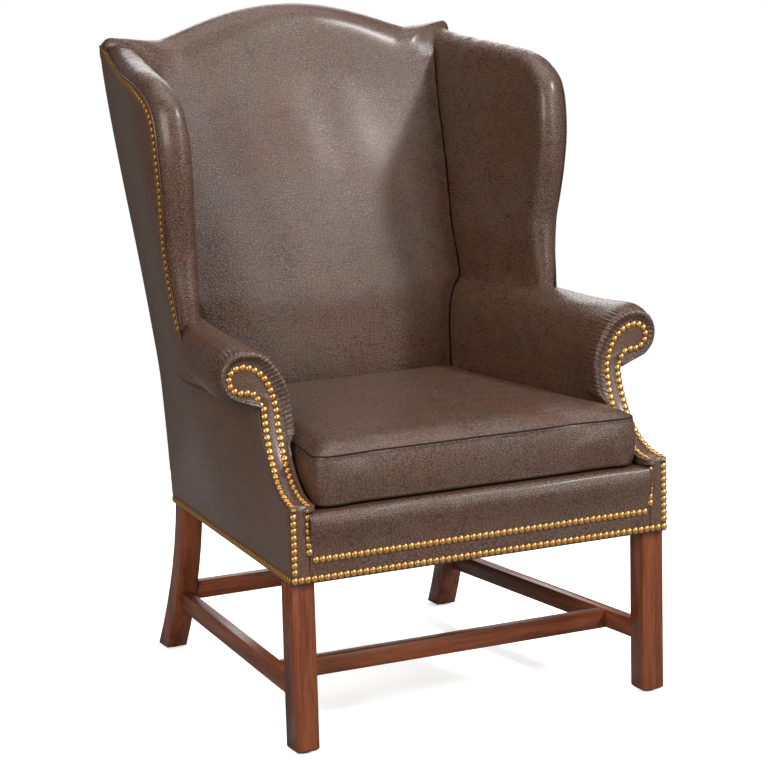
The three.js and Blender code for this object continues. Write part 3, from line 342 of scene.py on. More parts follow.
def raised(points, lift):
    """Points of a grid moved out along its normals by a lift in millimetres."""
    return points + normals_of(points) * (lift * MILLI)[..., None]


def sheet_piece(name, grid, thickness, finish, turn=1):
    """A grid of points in metres as a closed sheet, its thickness laid along the normals."""
    rows, columns = grid.shape[:2]
    under = grid - normals_of(grid) * thickness * MILLI * turn
    points = np.concatenate([grid.reshape(-1, 3), under.reshape(-1, 3)])
    top = grid_faces(rows, columns)
    base = grid_faces(rows, columns, rows * columns)[:, ::-1]
    number = np.arange(rows * columns).reshape(rows, columns)
    rim = np.concatenate([number[0, :-1], number[:-1, -1], number[-1, :0:-1], number[:0:-1, 0]])
    after = np.roll(rim, -1)
    edge = np.stack((after, rim, rim + rows * columns, after + rows * columns), -1)
    faces = np.concatenate([top, base, edge])
    if signed_volume(points, faces) < 0:
        faces = faces[:, ::-1]
    return mesh_piece(name, points, faces, finish)


def settle(piece, body, slot, *nodes, padded=None):
    """Hangs a piece on its body and hides the frame nodes that it stands for."""
    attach(piece, body)
    if nodes:
        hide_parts(*nodes)
    return piece


def mirrored(grid, hand):
    """The right side's points, or the left side's made from them."""
    return grid if hand > 0 else grid * np.array([-1.0, 1.0, 1.0])


def padded_hide(name, grid, hide, turn, fill, *nodes):
    """A hide drawn over its pad, the two of them in one piece."""
    settle(sheet_piece(name, grid, LEATHER, hide, turn), "chair", "leather", *nodes, padded=fill)


# Finishes


class Value:
    """One output of a node. Python's arithmetic on it adds Math nodes."""

    def __init__(self, finish, socket):
        self.finish, self.socket = finish, socket

    def math(self, operation, *others):
        return self.finish.node("ShaderNodeMath", {"operation": operation}, {
            k: v for k, v in enumerate((self, *others))})

    def __add__(self, other):
        return self.math("ADD", other)

    def __mul__(self, other):
        return self.math("MULTIPLY", other)

    __radd__, __rmul__ = __add__, __mul__

    def __sub__(self, other):
        return self.math("SUBTRACT", other)

    def __rsub__(self, other):
        return self.finish.node("ShaderNodeMath", {"operation": "SUBTRACT"}, {0: other, 1: self})

    def step(self, low, high):
        """0 below low, 1 above high and smooth between them."""
        return self.finish.node("ShaderNodeMapRange", {"interpolation_type": "SMOOTHSTEP"}, {
            "Value": self, "From Min": low, "From Max": high})


class Finish:
    """A material being built around one Principled shader."""

    def __init__(self, name):
        self.material = bpy.data.materials.new(name)
        self.material.use_nodes = True
        self.tree = self.material.node_tree
        self.tree.nodes.clear()
        self.shader = self.tree.nodes.new("ShaderNodeBsdfPrincipled")
        output = self.tree.nodes.new("ShaderNodeOutputMaterial")
        self.tree.links.new(self.shader.outputs[0], output.inputs["Surface"])

    def put(self, socket, value):
        if isinstance(value, Value):
            self.tree.links.new(value.socket, socket)
        elif hasattr(value, "__len__") and hasattr(socket.default_value, "__len__"):
            socket.default_value = (*value, 1.0)[:len(socket.default_value)]
        else:
            socket.default_value = value

    def node(self, kind, settings=None, inputs=None, output=0):
        """Adds a node: settings first, then values or links."""
        made = self.tree.nodes.new(kind)
        for key, value in (settings or {}).items():
            setattr(made, key, value)
        for key, value in (inputs or {}).items():
            self.put(made.inputs[key], value)
        return Value(self, made.outputs[output])

    def stretched(self, spot, scale):
        return self.node("ShaderNodeMapping", None, {"Vector": spot, "Scale": scale})

    def place(self, scale=(1, 1, 1)):
        """The surface's own coordinates, which ride with it."""
        return self.stretched(self.node("ShaderNodeTexCoord", output="Object"), scale)

    def noise(self, spot, scale, detail=2.0, rough=0.5, output=0):
        return self.node("ShaderNodeTexNoise", None, {
            "Vector": spot, "Scale": scale, "Detail": detail, "Roughness": rough}, output)

    def cells(self, spot, scale, spread, feature="DISTANCE_TO_EDGE", output=0):
        """Cells of a size 1 / scale: how far in a place lies, or each cell's own colour."""
        return self.node("ShaderNodeTexVoronoi", {"feature": feature}, {
            "Vector": spot, "Scale": scale, "Randomness": spread}, output)

    def blend(self, share, first, second):
        """A colour between two colours."""
        made = self.tree.nodes.new("ShaderNodeMix")
        made.data_type = "RGBA"
        for key, value in ((0, share), (6, first), (7, second)):
            self.put(made.inputs[key], value)
        return Value(self, made.outputs[2])

    def moved(self, spot, by, size):
        """A place shifted by a noise colour, centred on no shift."""
        for operation, inputs in (("SUBTRACT", {0: by, 1: (0.5, 0.5, 0.5)}),
                                  ("SCALE", {"Scale": size}), ("ADD", {1: spot})):
            inputs.setdefault(0, by)
            by = self.node("ShaderNodeVectorMath", {"operation": operation}, inputs)
        return by

    def relief(self, height, distance, strength=1.0, under=None):
        inputs = {"Height": height, "Distance": distance, "Strength": strength}
        if under is not None:
            inputs["Normal"] = under
        return self.node("ShaderNodeBump", None, inputs)

    def wear(self, **sockets):
        """Sets the shader's sockets, written with underscores for spaces."""
        for key, value in sockets.items():
            self.put(self.shader.inputs[key.replace("_", " ")], value)
        return self.material


def leather_finish(name, settings, smoothness=0.0):
    """Printed leather: warped pebbles in loose rows, dark creases between them, a fine
    crackle over both and a broad mottle of warm and cool brown. A smoother hide shows less
    of its grain."""
    f = Finish(name)
    spot, printed = f.place(), 1 - 0.5 * smoothness
    bent = f.moved(spot, f.noise(spot, 130, 2, output="Color"), 0.0042)
    rows = f.stretched(bent, (0.75, 0.75, 1.4))
    cell = 1 / settings.grain_size
    edge, crackle = f.cells(rows, cell, 0.9), f.cells(rows, cell * 2.1, 1.0)
    tone = f.cells(rows, cell, 0.9, "F1", "Color")
    hue = f.node("ShaderNodeSeparateColor", None, {"Color": tone})
    broad = f.noise(spot, 6.5, 4, 0.55)
    patch = f.noise(spot, 34, 3, 0.6)
    pebble = edge.step(0.0, 0.2) * (0.55 + 0.45 * crackle.step(0.0, 0.16))
    worn = patch.step(0.62, 0.3)
    shown = 1 - (1 - pebble) * (0.72 + 0.26 * worn) * printed
    light = broad.step(0.34, 0.66) * 0.45 + patch.step(0.3, 0.75) * 0.15 + hue * 0.4
    top = f.blend(light, settings.warm_colour, settings.cool_colour)
    colour = f.blend(shown, settings.crease_and_seam_shade_colour, top)
    height = pebble * 0.8 + f.noise(bent, 900, 3, 0.6) * 0.2
    soft = f.relief(patch, 0.0012, 0.3)
    bump = f.relief(height, settings.grain_depth, settings.relief * printed, soft)
    rough = settings.roughness + 0.2 * (1 - shown) + patch * 0.1 - 0.05
    return f.wear(Base_Color=colour, Roughness=rough, Normal=bump,
                  Specular_IOR_Level=settings.specular, Coat_Weight=settings.coat,
                  Coat_Roughness=0.27)


def seam_shade_finish(settings):
    """A near-black line along a seam: painted shade standing in for the shadow in its groove,
    faintly varied by a fine fibre-like noise.
    """
    f = Finish("seam_line")
    fibre = f.noise(f.place(), 700, 3, 0.6)
    # Half the crease colour, near black: painted shade of the seam's groove.
    dark = tuple(c * 0.5 for c in settings.crease_and_seam_shade_colour)
    return f.wear(Base_Color=f.blend(fibre * 0.12, dark, settings.warm_colour),
                  Roughness=0.6 + fibre * 0.15, Specular_IOR_Level=0.15,
                  Normal=f.relief(fibre, 0.0004, 0.3))


def wood_finish(name, settings, along, pale=None):
    """Straight-grained timber: stretched noise along one axis, pores and faint dark streaks."""
    f = Finish(name)
    stretch = tuple(0.055 if axis == along else 1.0 for axis in "XYZ")
    spot = f.place()
    waver = f.moved(spot, f.noise(spot, 9, 2, output="Color"), 0.006)
    fibre = f.stretched(waver, stretch)
    lines = f.noise(fibre, 260, 4, 0.62)
    bands = f.noise(fibre, 62, 3, 0.55)
    pores = f.noise(fibre, 900, 2, 0.5).step(0.56, 0.7)
    cloud = f.noise(spot, 11, 2, 0.5)
    dark, light = (settings.wood_dark, settings.wood_light) if pale is None else pale
    share = bands.step(0.36, 0.66) * 0.5 + lines.step(0.35, 0.7) * 0.3 + cloud * 0.2
    colour = f.blend(share, dark, light)
    colour = f.blend(pores * 0.45, colour, tuple(c * 0.35 for c in dark[:3]))
    bump = f.relief(lines * 0.6 - pores * 0.4, 0.0003, 0.3)
    rough = (0.55 if pale else settings.wood_roughness) + lines * 0.12 + pores * 0.1 - 0.05
    coat = 0.0 if pale else 0.08
    return f.wear(Base_Color=colour, Roughness=rough, Normal=bump, Specular_IOR_Level=0.26,
                  Coat_Weight=coat, Coat_Roughness=0.25)


def brass_finish(settings):
    """Antiqued brass: bright crowns that darken towards the rim, lightly spotted."""
    f = Finish("antique_brass")
    rim = f.node("ShaderNodeAttribute", {"attribute_name": "rim"}, output="Fac")
    spots = f.noise(f.place(), 420, 3, 0.6)
    dull = rim.step(0.6, 1.0) * 0.85 + spots.step(0.5, 0.8) * 0.25
    colour = f.blend(dull.math("MINIMUM", 1.0), settings.brass_colour, settings.brass_dark)
    return f.wear(Base_Color=colour, Roughness=0.38 + dull * 0.16, Metallic=1.0,
                  Normal=f.relief(spots, 0.0003, 0.12))


def steel_finish():
    """Drawn wire and pressed glides: grey, faintly streaked."""
    f = Finish("drawn_steel")
    streak = f.noise(f.place((1, 1, 0.2)), 300, 3, 0.6)
    return f.wear(Base_Color=f.blend(streak, (0.22, 0.23, 0.24), (0.42, 0.42, 0.43)),
                  Roughness=0.34 + streak * 0.14, Metallic=1.0,
                  Normal=f.relief(streak, 0.0002, 0.15))


def woven_finish(name, dark, light, thread, depth, roughness):
    """Plain weave: two crossed sine ridges, one lifted where the other dips."""
    f = Finish(name)
    spot = f.place()
    parts = f.node("ShaderNodeSeparateXYZ", None, {"Vector": spot})
    second = Value(f, parts.socket.node.outputs["Y"])
    third = Value(f, parts.socket.node.outputs["Z"])
    turn = math.pi / thread
    warp = (parts * turn).math("SINE")
    weft = ((second + third) * turn).math("SINE")
    over = (warp * weft).math("MULTIPLY_ADD", 0.5, 0.5)
    slub = f.noise(spot, 120, 3, 0.6)
    height = over * 0.7 + slub * 0.3
    return f.wear(Base_Color=f.blend(height, dark, light), Roughness=roughness + slub * 0.06,
                  Normal=f.relief(height, depth, 0.5))


# Surfaces


def arm_top(y):
    """The crown line of the arm: in and up towards the wing, then in to the back."""
    ahead = (y - ARM_FRONT) / (WING_FRONT - ARM_FRONT)
    behind = (y - WING_FRONT) / (back_line(WING_SEAM) - WING_FRONT)
    return [np.where(y < WING_FRONT, mix(front, wing, ahead), mix(wing, rear, behind))
            for front, wing, rear in ARM_TOP]


roll_curve = curve_through([(0, 0), (0.5, 0.12), (0.85, 0.5), (1, 1)])
lift_curve = curve_through([(0, 0), (0.6, 0.02), (0.85, 0.5), (1, 1)])
ARCH_POWER = 0.8


def arm_profile(t, y):
    """The arm's section at depth y: t runs 0-1 up the inner face, 1-2 over a superellipse
    arch, 2-3 round the outer roll and 3-4 in to the seam under it."""
    top_x, top_z = arm_top(y)
    inner = side_base(y) - ARM_WALL
    along = np.clip((y - ARM_FRONT) / (ROLL_END - ARM_FRONT), 0, 1)
    lift = lift_curve(along)
    axis, under, seam = (mix(front, rear, lift) for front, rear in ROLL_HEIGHTS)
    panel_z, panel_y = PANEL_UNDER_ROLL.T
    seam = np.minimum(seam, np.interp(y, panel_y, panel_z) - PANEL_SHORT)
    inside = outer_x(y, axis) - SEAM_SHORT
    reach = mix(ROLL_OUT, np.minimum(inside, ROLL_BEHIND), roll_curve(along))
    arch = np.radians(90 * np.clip(t - 1, 0, 1))
    arch_x = top_x - (top_x - inner) * np.cos(arch) ** ARCH_POWER
    arch_z = ROLL_START + (top_z - ROLL_START) * np.sin(arch) ** ARCH_POWER
    roll = np.radians(90 - 165 * np.clip(t - 2, 0, 1))
    above = np.sin(roll) > 0
    high = np.where(above, top_z - axis, axis - under)
    curl = np.where(above, top_x, mix(top_x, inside - (reach - top_x) / 2, along ** 4))
    roll_x, roll_z = curl + (reach - curl) * np.cos(roll), axis + high * np.sin(roll)
    seam_x = outer_x(y, seam) + mix(2.6, -SEAM_SHORT, along ** 4)
    last = np.clip(t - 3, 0, 1)
    x = np.select([t < 1, t < 2, t < 3], [inner, arch_x, roll_x], mix(roll_x, seam_x, last))
    rise = mix(DECK + 2.5, ROLL_START, np.clip(t, 0, 1))
    z = np.select([t < 1, t < 2, t < 3], [rise, arch_z, roll_z], mix(roll_z, seam, last))
    return x, z


def arm_surface(t, y, inset):
    """The section moved in along its own normal by inset."""
    x, z = arm_profile(t, y)
    (x1, z1), (x0, z0) = arm_profile(t + 0.02, y), arm_profile(t - 0.02, y)
    length = np.maximum(np.hypot(x1 - x0, z1 - z0), 1e-6)
    half = 1 - 0.5 * ramp(t, 2.7, 0.25)
    x, z = x + (z1 - z0) / length * inset * half, z - (x1 - x0) / length * inset * half
    return x, np.where(y > WING_FRONT, np.minimum(z, WING_SEAM - 2), z)


def lip_reach(t, front):
    """How far in from the section's outline its facing begins, along the section's normal."""
    inset = np.linspace(4, 48, 81)[None, :]
    x, z = arm_surface(np.broadcast_to(t, (len(t), inset.size)), front, inset)
    inner, right, _ = facing_edges(z)
    within = (x > inner + 3) & (x < right - 3) & (z < SCROLL_Z + SCROLL_RADIUS - 3)
    first = np.where(within.any(1), inset[0, within.argmax(1)], np.nan)
    known = ~np.isnan(first)
    first = np.interp(t[:, 0], t[known, 0], first[known])
    first = np.max([np.roll(first, k) for k in range(-3, 4)], axis=0)
    return windowed(first, 9)[:, None]


def arm_grid(settings, rows=372, columns=84, lips=20):
    """The arm's leather: a soft lip turned in to the facing, then the section carried back."""
    t = np.concatenate([np.linspace(0, 1, rows // 3, endpoint=False),
                        np.linspace(1, 3, rows // 2, endpoint=False),
                        np.linspace(3, 4, rows // 6)])[:, None]
    level = arm_profile(t, np.full_like(t, ARM_FRONT))[1]
    front = sweep_y(np.minimum(level, SCROLL_Z))
    at_wing = arm_profile(t, np.full_like(t, WING_FRONT))[1]
    rear = back_line(np.minimum(at_wing, WING_SEAM)) + TUCK
    round_lip = np.radians(np.linspace(-90, 90, lips))[None, :]
    radius = settings.lip_radius / MILLI
    far = np.maximum(-np.sin(round_lip), 0)
    lip_y = front + np.where(round_lip > 0, LIP_SET - radius * np.cos(round_lip),
                             mix(LIP_SET - radius, -LIP_PROUD, smooth(far / 0.55)))
    whole = lip_reach(t, front)
    lip_inset = whole * mix(0.3 * (1 - np.sin(np.maximum(round_lip, 0))), 1, far)
    run = np.linspace(0, 1, columns - lips + 1)[None, 1:] ** 1.15
    body_y = mix(front + LIP_SET, rear, run)
    y = np.concatenate([lip_y, body_y], 1)
    inset = np.concatenate([lip_inset, np.zeros_like(body_y)], 1)
    back = np.maximum(y - front, 0)
    puff = ramp(t, 0.6, 0.16) * (1 - 0.75 * ramp(t, 1.0, 0.5)) * (1 - ramp(t, 2.2, 0.6))
    held = np.concatenate([1 - far ** 1.5, np.ones((1, body_y.shape[1]))], 1)
    inset = inset - settings.lip_bulge / MILLI * puff * held * hill(back, 0, LIP_FADE)
    full = ramp(t, 1.7, 0.5) * (1 - ramp(t, 2.9, 0.4))
    swell = (1 - hill(back, 0, SWELL_START)) * hill(back, SWELL_AT, SWELL_FADE)
    inset = inset - settings.roll_bulge / MILLI * full * swell
    t = np.broadcast_to(t, y.shape)
    x, z = arm_surface(t, y, inset)
    along = np.cumsum(np.hypot(np.gradient(x, axis=0), np.gradient(z, axis=0)), axis=0)
    edge = hill(back, GATHER_AT, GATHER_FADE) * ramp(t, 0.6, 0.2) * (1 - ramp(t, 3.1, 0.5))
    crimp = ripple(along / GATHER_PITCH, 7) * edge * settings.gather_depth / MILLI
    hang = ripple(along / HANG_PITCH + back / 90, 11) * HANG_DEPTH
    hang = hang * smooth(back / HANG_START) * smooth(t / 0.4)
    return raised(metres(x, y, z), crimp + hang)


WING_KNOTS = np.array([
    (375.5, 626.0), (377.6, 683.7), (381.2, 716.8), (383.9, 762.9), (376, 817.8), (368.9, 863.1),
    (366.2, 904.9), (368.1, 943.2), (374.9, 978.9), (385.9, 1010.3), (408, 1034.7), (440, 1052.1),
    (485.1, 1063.4), (540, 1070.4), (600, 1076.5), (650.2, 1082.1), (699.2, 1089.5),
    (735, 1098.5), (750, 1101.0)])


def wing_grid(settings, rows=150, turns=30, faces=34):
    """A wing: a half round carried along the front and top edge, then a crowned face
    drawn straight from the roll to the corner with the back."""
    last = len(WING_KNOTS) - 1
    s = np.linspace(0, last, rows)
    edge_y, edge_z = (curve_through(list(enumerate(column)))(s) for column in WING_KNOTS.T)
    slope_y, slope_z = np.gradient(edge_y), np.gradient(edge_z)
    slope_y[0], slope_z[0] = 0.0, 1.0
    length = np.hypot(slope_y, slope_z)
    bend_y = windowed(slope_z / length, 11)[:, None]
    bend_z = windowed(-slope_y / length, 11)[:, None]
    edge_y, edge_z = edge_y[:, None], edge_z[:, None]
    share = np.minimum(1, s / (last - EAR_KNOTS))[:, None]
    turn = np.radians(np.linspace(20, 180, turns))[None, :]
    deep = WING_ROLL * (1 - np.sin(turn))
    at_y, at_z = edge_y + bend_y * deep, edge_z + bend_z * deep
    roll_x = outer_x(at_y, at_z) - wing_wide(at_z) / 2 * (1 - np.cos(turn))
    corner_z = mix(WING_KNOTS[0][1], WING_CORNER, share)
    start_y, start_z = edge_y + bend_y * WING_ROLL, edge_z + bend_z * WING_ROLL
    f = np.linspace(0, 1, faces + 1)[None, 1:]
    face_y = mix(start_y, back_line(corner_z) + TUCK, f)
    face_z = mix(start_z, corner_z, f)
    crown = (WING_CROWN + settings.wing_puff / MILLI) * (1 - share ** 4)
    crown = crown * np.sin(math.pi * f) ** 0.8
    face_x = wing_inner_x(face_y, face_z) - crown
    x = np.concatenate([roll_x, face_x], 1)
    y = np.concatenate([at_y, face_y], 1)
    z = np.concatenate([at_z, face_z], 1)
    across = np.concatenate([turn / math.pi, 1 + f], 1)
    along = np.cumsum(length)[:, None]
    foot = hill(along, 26, 18) * ripple(across * 21, 3) * 1.1
    ear = ramp(share, 0.62, 0.3) * ripple(along / 8 + across * 3, 5) * hill(across, 0.75, 0.5)
    loose = ripple(along / 55 + across * 2.3, 9) * LOOSE_WING * ramp(across, 0.2, 0.4)
    points = eased(metres(x, y, z).transpose(1, 0, 2), turns, 5, 40).transpose(1, 0, 2)
    lift = foot + ear * settings.gather_depth / MILLI * 0.8 + loose
    return raised(points, lift)


def back_half(z):
    """Half the inside back's width: to the arm's arch below, to the wing's face above."""
    y = back_line(z) + TUCK
    top_x, top_z = arm_top(y)
    share = np.clip((z - ROLL_START) / (top_z - ROLL_START), 0, 1) ** (1 / ARCH_POWER)
    arch = top_x - (top_x - side_base(y) + ARM_WALL) * np.sqrt(1 - share ** 2) ** ARCH_POWER
    wing = wing_inner_x(y, np.maximum(z, WING_SEAM))
    return np.where(z < WING_SEAM, np.minimum(arch, wing), wing) - 4


ear_edge = curve_through([(600, 1056), (616, 1057.3), (683, 1070.4), (754, 1092), (790, 1096)])


def back_grid(settings, rows=96, turns=34, columns=120):
    """The inside back: a crowned leaning face, then a half ellipse over the camel crest."""
    side = np.linspace(-1, 1, columns)[None, :]
    side = np.sign(side) * (1 - (1 - np.abs(side)) ** 1.25)
    top = crest_line(side * EAR_WIDTH / 2) - CREST_ROLL
    share = np.linspace(0, 1, rows)[:, None]
    z = mix(DECK + 1, top, share)
    swell = np.sin(math.pi * np.minimum(1, share ** 0.7 * 1.03)) ** 1.2
    crown = (BACK_CROWN + settings.back_puff / MILLI) * (1 - side ** 2) * swell
    edge = 6 * ramp(np.abs(side), 0.9, 0.1) * ramp(z, DECK, 60)
    face = metres(side * back_half(z), back_line(z) - crown + edge * 0.5, z)
    ear = ramp(np.abs(side), 0.8, 0.2)
    turn = np.radians(np.linspace(4, 176, turns))[:, None]
    rear = rear_line(top) - SEAM_EASE
    front = back_line(top) + EAR_FORWARD * ear * np.minimum(1, np.degrees(turn) / 60)
    y = (front + rear) / 2 - (rear - front) / 2 * np.cos(turn)
    spread = ramp(np.degrees(turn), 12, 76)
    outer = outer_x(y, top) + CREST_PROUD + CREST_BULGE * np.sin(turn)
    x = side * mix(back_half(top), outer, spread)
    nailed = ear_edge(y) - top - 1.5
    height = CREST_ROLL * np.sin(turn)
    end = np.sqrt(1 - np.clip((np.abs(side) - CREST_END) / (1 - CREST_END), 0, 1) ** 2)
    height = mix(np.minimum(height, np.maximum(nailed, 0)), height, end)
    roll = metres(x, y, top + height)
    points = eased(np.concatenate([face, roll]), rows - 1, 7, 60)
    span = np.concatenate([share * FACE_LENGTH, FACE_LENGTH + np.degrees(turn) * 0.8])
    pull = ripple(side * 5 + span / 230, 13) * LOOSE_BACK
    near = ramp(np.abs(side), 0.82, 0.15) * ripple(span / 11, 19) * LOOSE_EDGE
    lift = (pull + near) * smooth(span / 120) * (1 - 0.8 * ramp(span, FACE_LENGTH, 60))
    return raised(points, -lift)


def panel_grid(rows=150, columns=60):
    """An outside panel: straight rows from the hem up, between the front edge and the rear line."""
    z = np.concatenate([np.linspace(HEM, STEP - 6, 16, endpoint=False),
                        STEP - 6 + (UNDER_ROLL - STEP + 5.7) * np.linspace(0, 1, 40) ** 1.6,
                        np.linspace(UNDER_ROLL, PANEL_TOP, rows - 56)])[:, None]
    share = np.linspace(0, 1, columns)[None, :]
    y = mix(panel_front(z), rear_line(z), share)
    x = outer_x(y, z) + ripple(y / 90 + z / 130, 23) * PANEL_SLACK * np.sin(math.pi * share)
    return metres(x, y, z)


def outside_back_grid(rows=80, columns=80):
    """The outside back: a sheet stretched down the rake from the crest roll to the hem."""
    side = np.linspace(-1, 1, columns)[None, :]
    top = crest_line(side * EAR_WIDTH / 2) - CREST_ROLL - 1
    z = mix(HEM, top, np.linspace(0, 1, rows)[:, None])
    x = side * (outer_x(rear_line(z), z) - LEATHER - SEAM_EASE)
    hollow = ripple(side * 4 + z / 160, 29) * BACK_SLACK * (1 - side ** 8)
    return metres(x, rear_line(z) - np.maximum(hollow, 0), z)


def facing_edges(z):
    """The inner and outer edge of an arm facing: parallel strips that open into the scroll."""
    y = sweep_y(z)
    outer = side_base(y) - SEAM_EASE
    level = np.clip((z - FACING_TURN) / (SCROLL_Z + SCROLL_RADIUS - FACING_TURN), 0, 1)
    inner = mix(outer - FACING_WIDTH, SCROLL_X, 1 - np.sqrt(1 - level ** 2))
    bulb = np.sqrt(np.maximum(0, 1 - ((z - SCROLL_Z) / SCROLL_RADIUS) ** 2))
    right = mix(outer, SCROLL_X + SCROLL_RADIUS * bulb, ramp(z, 560, 8))
    return inner, right, y


def facing_grid(rows=120, columns=14):
    """An arm facing on the swept front, faintly padded between its two nailed edges."""
    low = np.linspace(HEM, STEP, 20, endpoint=False)
    run = np.linspace(0, 1, rows - 60, endpoint=False) ** 1.5
    sweep = mix(STEP, SCROLL_Z - SCROLL_RADIUS, run)
    turn = np.radians(np.linspace(-88, 88, 40))
    z = np.concatenate([low, sweep, SCROLL_Z + SCROLL_RADIUS * 0.98 * np.sin(turn)])[:, None]
    inner, right, y = facing_edges(z)
    share = np.linspace(0, 1, columns)[None, :]
    points = metres(mix(inner, right, share), y, z)
    return raised(points, -FACING_PAD * np.sin(math.pi * share) ** 2)


border_curve_y = curve_through([
    (0, -1), (0.3, -1.05), (0.65, -1.6), (0.82, -2.1), (0.92, -1.9), (0.985, -1), (1.05, 0.9),
    (1.12, 3), (1.25, 6.3)])
border_curve_z = curve_through([
    (0, 0), (0.3, 0.3), (0.65, 0.65), (0.82, 0.82), (0.92, 0.92), (0.985, 0.985), (1.05, 1),
    (1.25, 1)])


def border_grid(settings, rows=120, columns=64):
    """The front border: flat where it is nailed, swelling into a soft lip under the cushion."""
    half = FRONT_WIDTH / 2 - FACING_WIDTH - SEAM_EASE
    x = np.linspace(-half, half, rows)[:, None]
    s = np.linspace(0, 1.25, columns)[None, :]
    sag = 1 + 0.12 * ripple(x / 75, 31) * ramp(s, 0.4, 0.3)
    y = PROUD * border_curve_y(s) * sag
    swell = hill(s, 0.72, 0.16) * settings.border_puff / MILLI * (1 - (x / half) ** 8)
    return metres(x, y - swell, mix(HEM, DECK, border_curve_z(s)))


def rounded_path(knots, samples=24):
    """A Catmull-Rom curve through the knots, samples points to each span."""
    k = np.asarray(knots, float)
    k = np.concatenate([2 * k[:1] - k[1:2], k, 2 * k[-1:] - k[-2:-1]])
    s = np.linspace(0, 1, samples, endpoint=False)[None, :, None]
    a, b, c, d = (k[i:len(k) - 3 + i, None, :] for i in range(4))
    spans = 0.5 * (2 * b + (c - a) * s + (2 * a - 5 * b + 4 * c - d) * s ** 2
                   + (3 * b - a - 3 * c + d) * s ** 3)
    return np.concatenate([spans.reshape(-1, k.shape[1]), k[-2:-1]])


def nail_heads(path, outward, settings, start):
    """Domes laid head to head on a path: equal steps of its length, each turned to its normal.
    A head's radius and rise follow a rounded arch from the rim up to the crown."""
    run = run_along(path)
    count = max(2, int(round(run[-1] / settings.nail_pitch)) + 1)
    stops = np.linspace(0, run[-1], count)
    spot = read_at(stops, run, path)
    up = unit(read_at(stops, run, outward))
    side = unit(np.cross(up, (0.31, 0.77, 0.55)))
    third = np.cross(up, side)
    bow = np.radians([-8, 6, 24, 44, 66])
    turn = np.linspace(0, 2 * math.pi, 14, endpoint=False)
    ring = np.cos(bow)[:, None] * settings.nail_radius
    rise = np.sin(bow)[:, None] * settings.nail_rise
    local = np.stack(np.broadcast_arrays(ring * np.cos(turn), ring * np.sin(turn), rise), -1)
    local = np.concatenate([local.reshape(-1, 3), [[0, 0, settings.nail_rise]]])
    tilt = np.random.default_rng(41).normal(0, 0.05, (count, 2))
    up = up + side * tilt[:, :1] + third * tilt[:, 1:]
    points = spot[:, None]
    for k, way in enumerate((side, third, up)):
        points = points + local[None, :, k:k + 1] * way[:, None]
    size = len(local)
    wall = grid_faces(len(bow), len(turn), wrap=True)
    j = np.arange(len(turn))
    first = (len(bow) - 1) * len(turn)
    cap = np.stack((first + j, first + (j + 1) % len(turn), np.full_like(j, size - 1)), 1)
    starts = start + np.arange(count)[:, None, None] * size
    rim = np.tile(np.concatenate([np.repeat(np.cos(bow), len(turn)), [0.0]]), count)
    walls, caps = (wall[None] + starts).reshape(-1, 4), (cap[None] + starts).reshape(-1, 3)
    return points.reshape(-1, 3), walls.tolist() + caps.tolist(), rim


def nail_piece(name, rows, finish, settings):
    """All the nails of one place as one mesh, with how near the rim each point lies."""
    points, faces, rims, start = [], [], [], 0
    for path, outward in rows:
        spots, heads, rim = nail_heads(path, outward, settings, start)
        points.append(spots)
        rims.append(rim)
        faces += heads
        start += len(spots)
    piece = mesh_piece(name, np.concatenate(points), faces, finish)
    mark = piece.data.attributes.new("rim", "FLOAT", "POINT")
    mark.data.foreach_set("value", np.concatenate(rims).astype(np.float32))
    return piece


def swept(share):
    """A point of the swept arm front and its outward direction, as share runs 0 to 1."""
    turn = share * math.pi / 2
    wide = ARM_FRONT + PROUD
    y, z = -PROUD + wide * np.sin(turn), STEP + SWEEP_RISE * (1 - np.cos(turn))
    return y, z, -SWEEP_RISE * np.sin(turn), wide * np.cos(turn)


SCROLL_KNOTS = ((334.2, 546), (336, 556), (341.5, 567), (352, 572.5), (365, 571.8), (377.5, 576.5),
                (385.5, 586), (387, 597.5), (382, 608), (372, 614), (360, 614.6), (348, 611.2),
                (337, 604.8), (327.5, 596), (320.5, 585.5), (315.5, 574), (312, 562), (309.5, 550))


def facing_nails(hand):
    """Up the outer edge, round the scroll and down the inner edge to the border."""
    s = np.linspace(0, SWEPT_SHARE, 60)
    y, z, ny, nz = swept(s)
    rise = np.linspace(HEM + OUTER_ROW_LOW, STEP, 20, endpoint=False)
    level = np.zeros_like(rise)
    first = [side_base(level - PROUD) - OUTER_ROW, level - PROUD, rise, level - 1, level]
    second = [side_base(y) - OUTER_ROW, y, z, ny, nz]
    knots = rounded_path(SCROLL_KNOTS)
    rest = np.zeros(len(knots))
    third = [knots[:, 0], sweep_y(knots[:, 1]), knots[:, 1], rest - 1, rest]
    back = [side_base(y) - mix(INNER_ROW, INNER_ROW_HIGH, s / SWEPT_SHARE), y, z, ny, nz]
    back = [part[::-1] for part in back]
    fall = np.linspace(STEP, HEM + INNER_ROW_LOW, 16)
    level = np.zeros_like(fall)
    last = [side_base(level - PROUD) - INNER_ROW, level - PROUD, fall, level - 1, level]
    line = np.stack([np.concatenate(parts) for parts in zip(first, second, third, back, last)], 1)
    run = run_along(line[:, :3])
    line = read_at(np.arange(0, run[-1]), run, line)
    x, y, z, ny, nz = (windowed(column, 27) for column in line.T)
    bow = np.hypot(ny, nz)
    outward = np.stack((np.zeros_like(x), ny / bow, nz / bow), 1)
    return metres(x, y, z, hand) + outward * 0.4 * MILLI, outward


def front_nails(z, half):
    """A level row across the whole front."""
    x = np.linspace(-half, half, 200)
    outward = np.tile([0.0, -1.0, 0.0], (200, 1))
    face = np.where(np.abs(x) < FRONT_WIDTH / 2 - FACING_WIDTH, -PROUD * 1.06, -PROUD)
    return metres(x, face, np.full_like(x, z)), outward


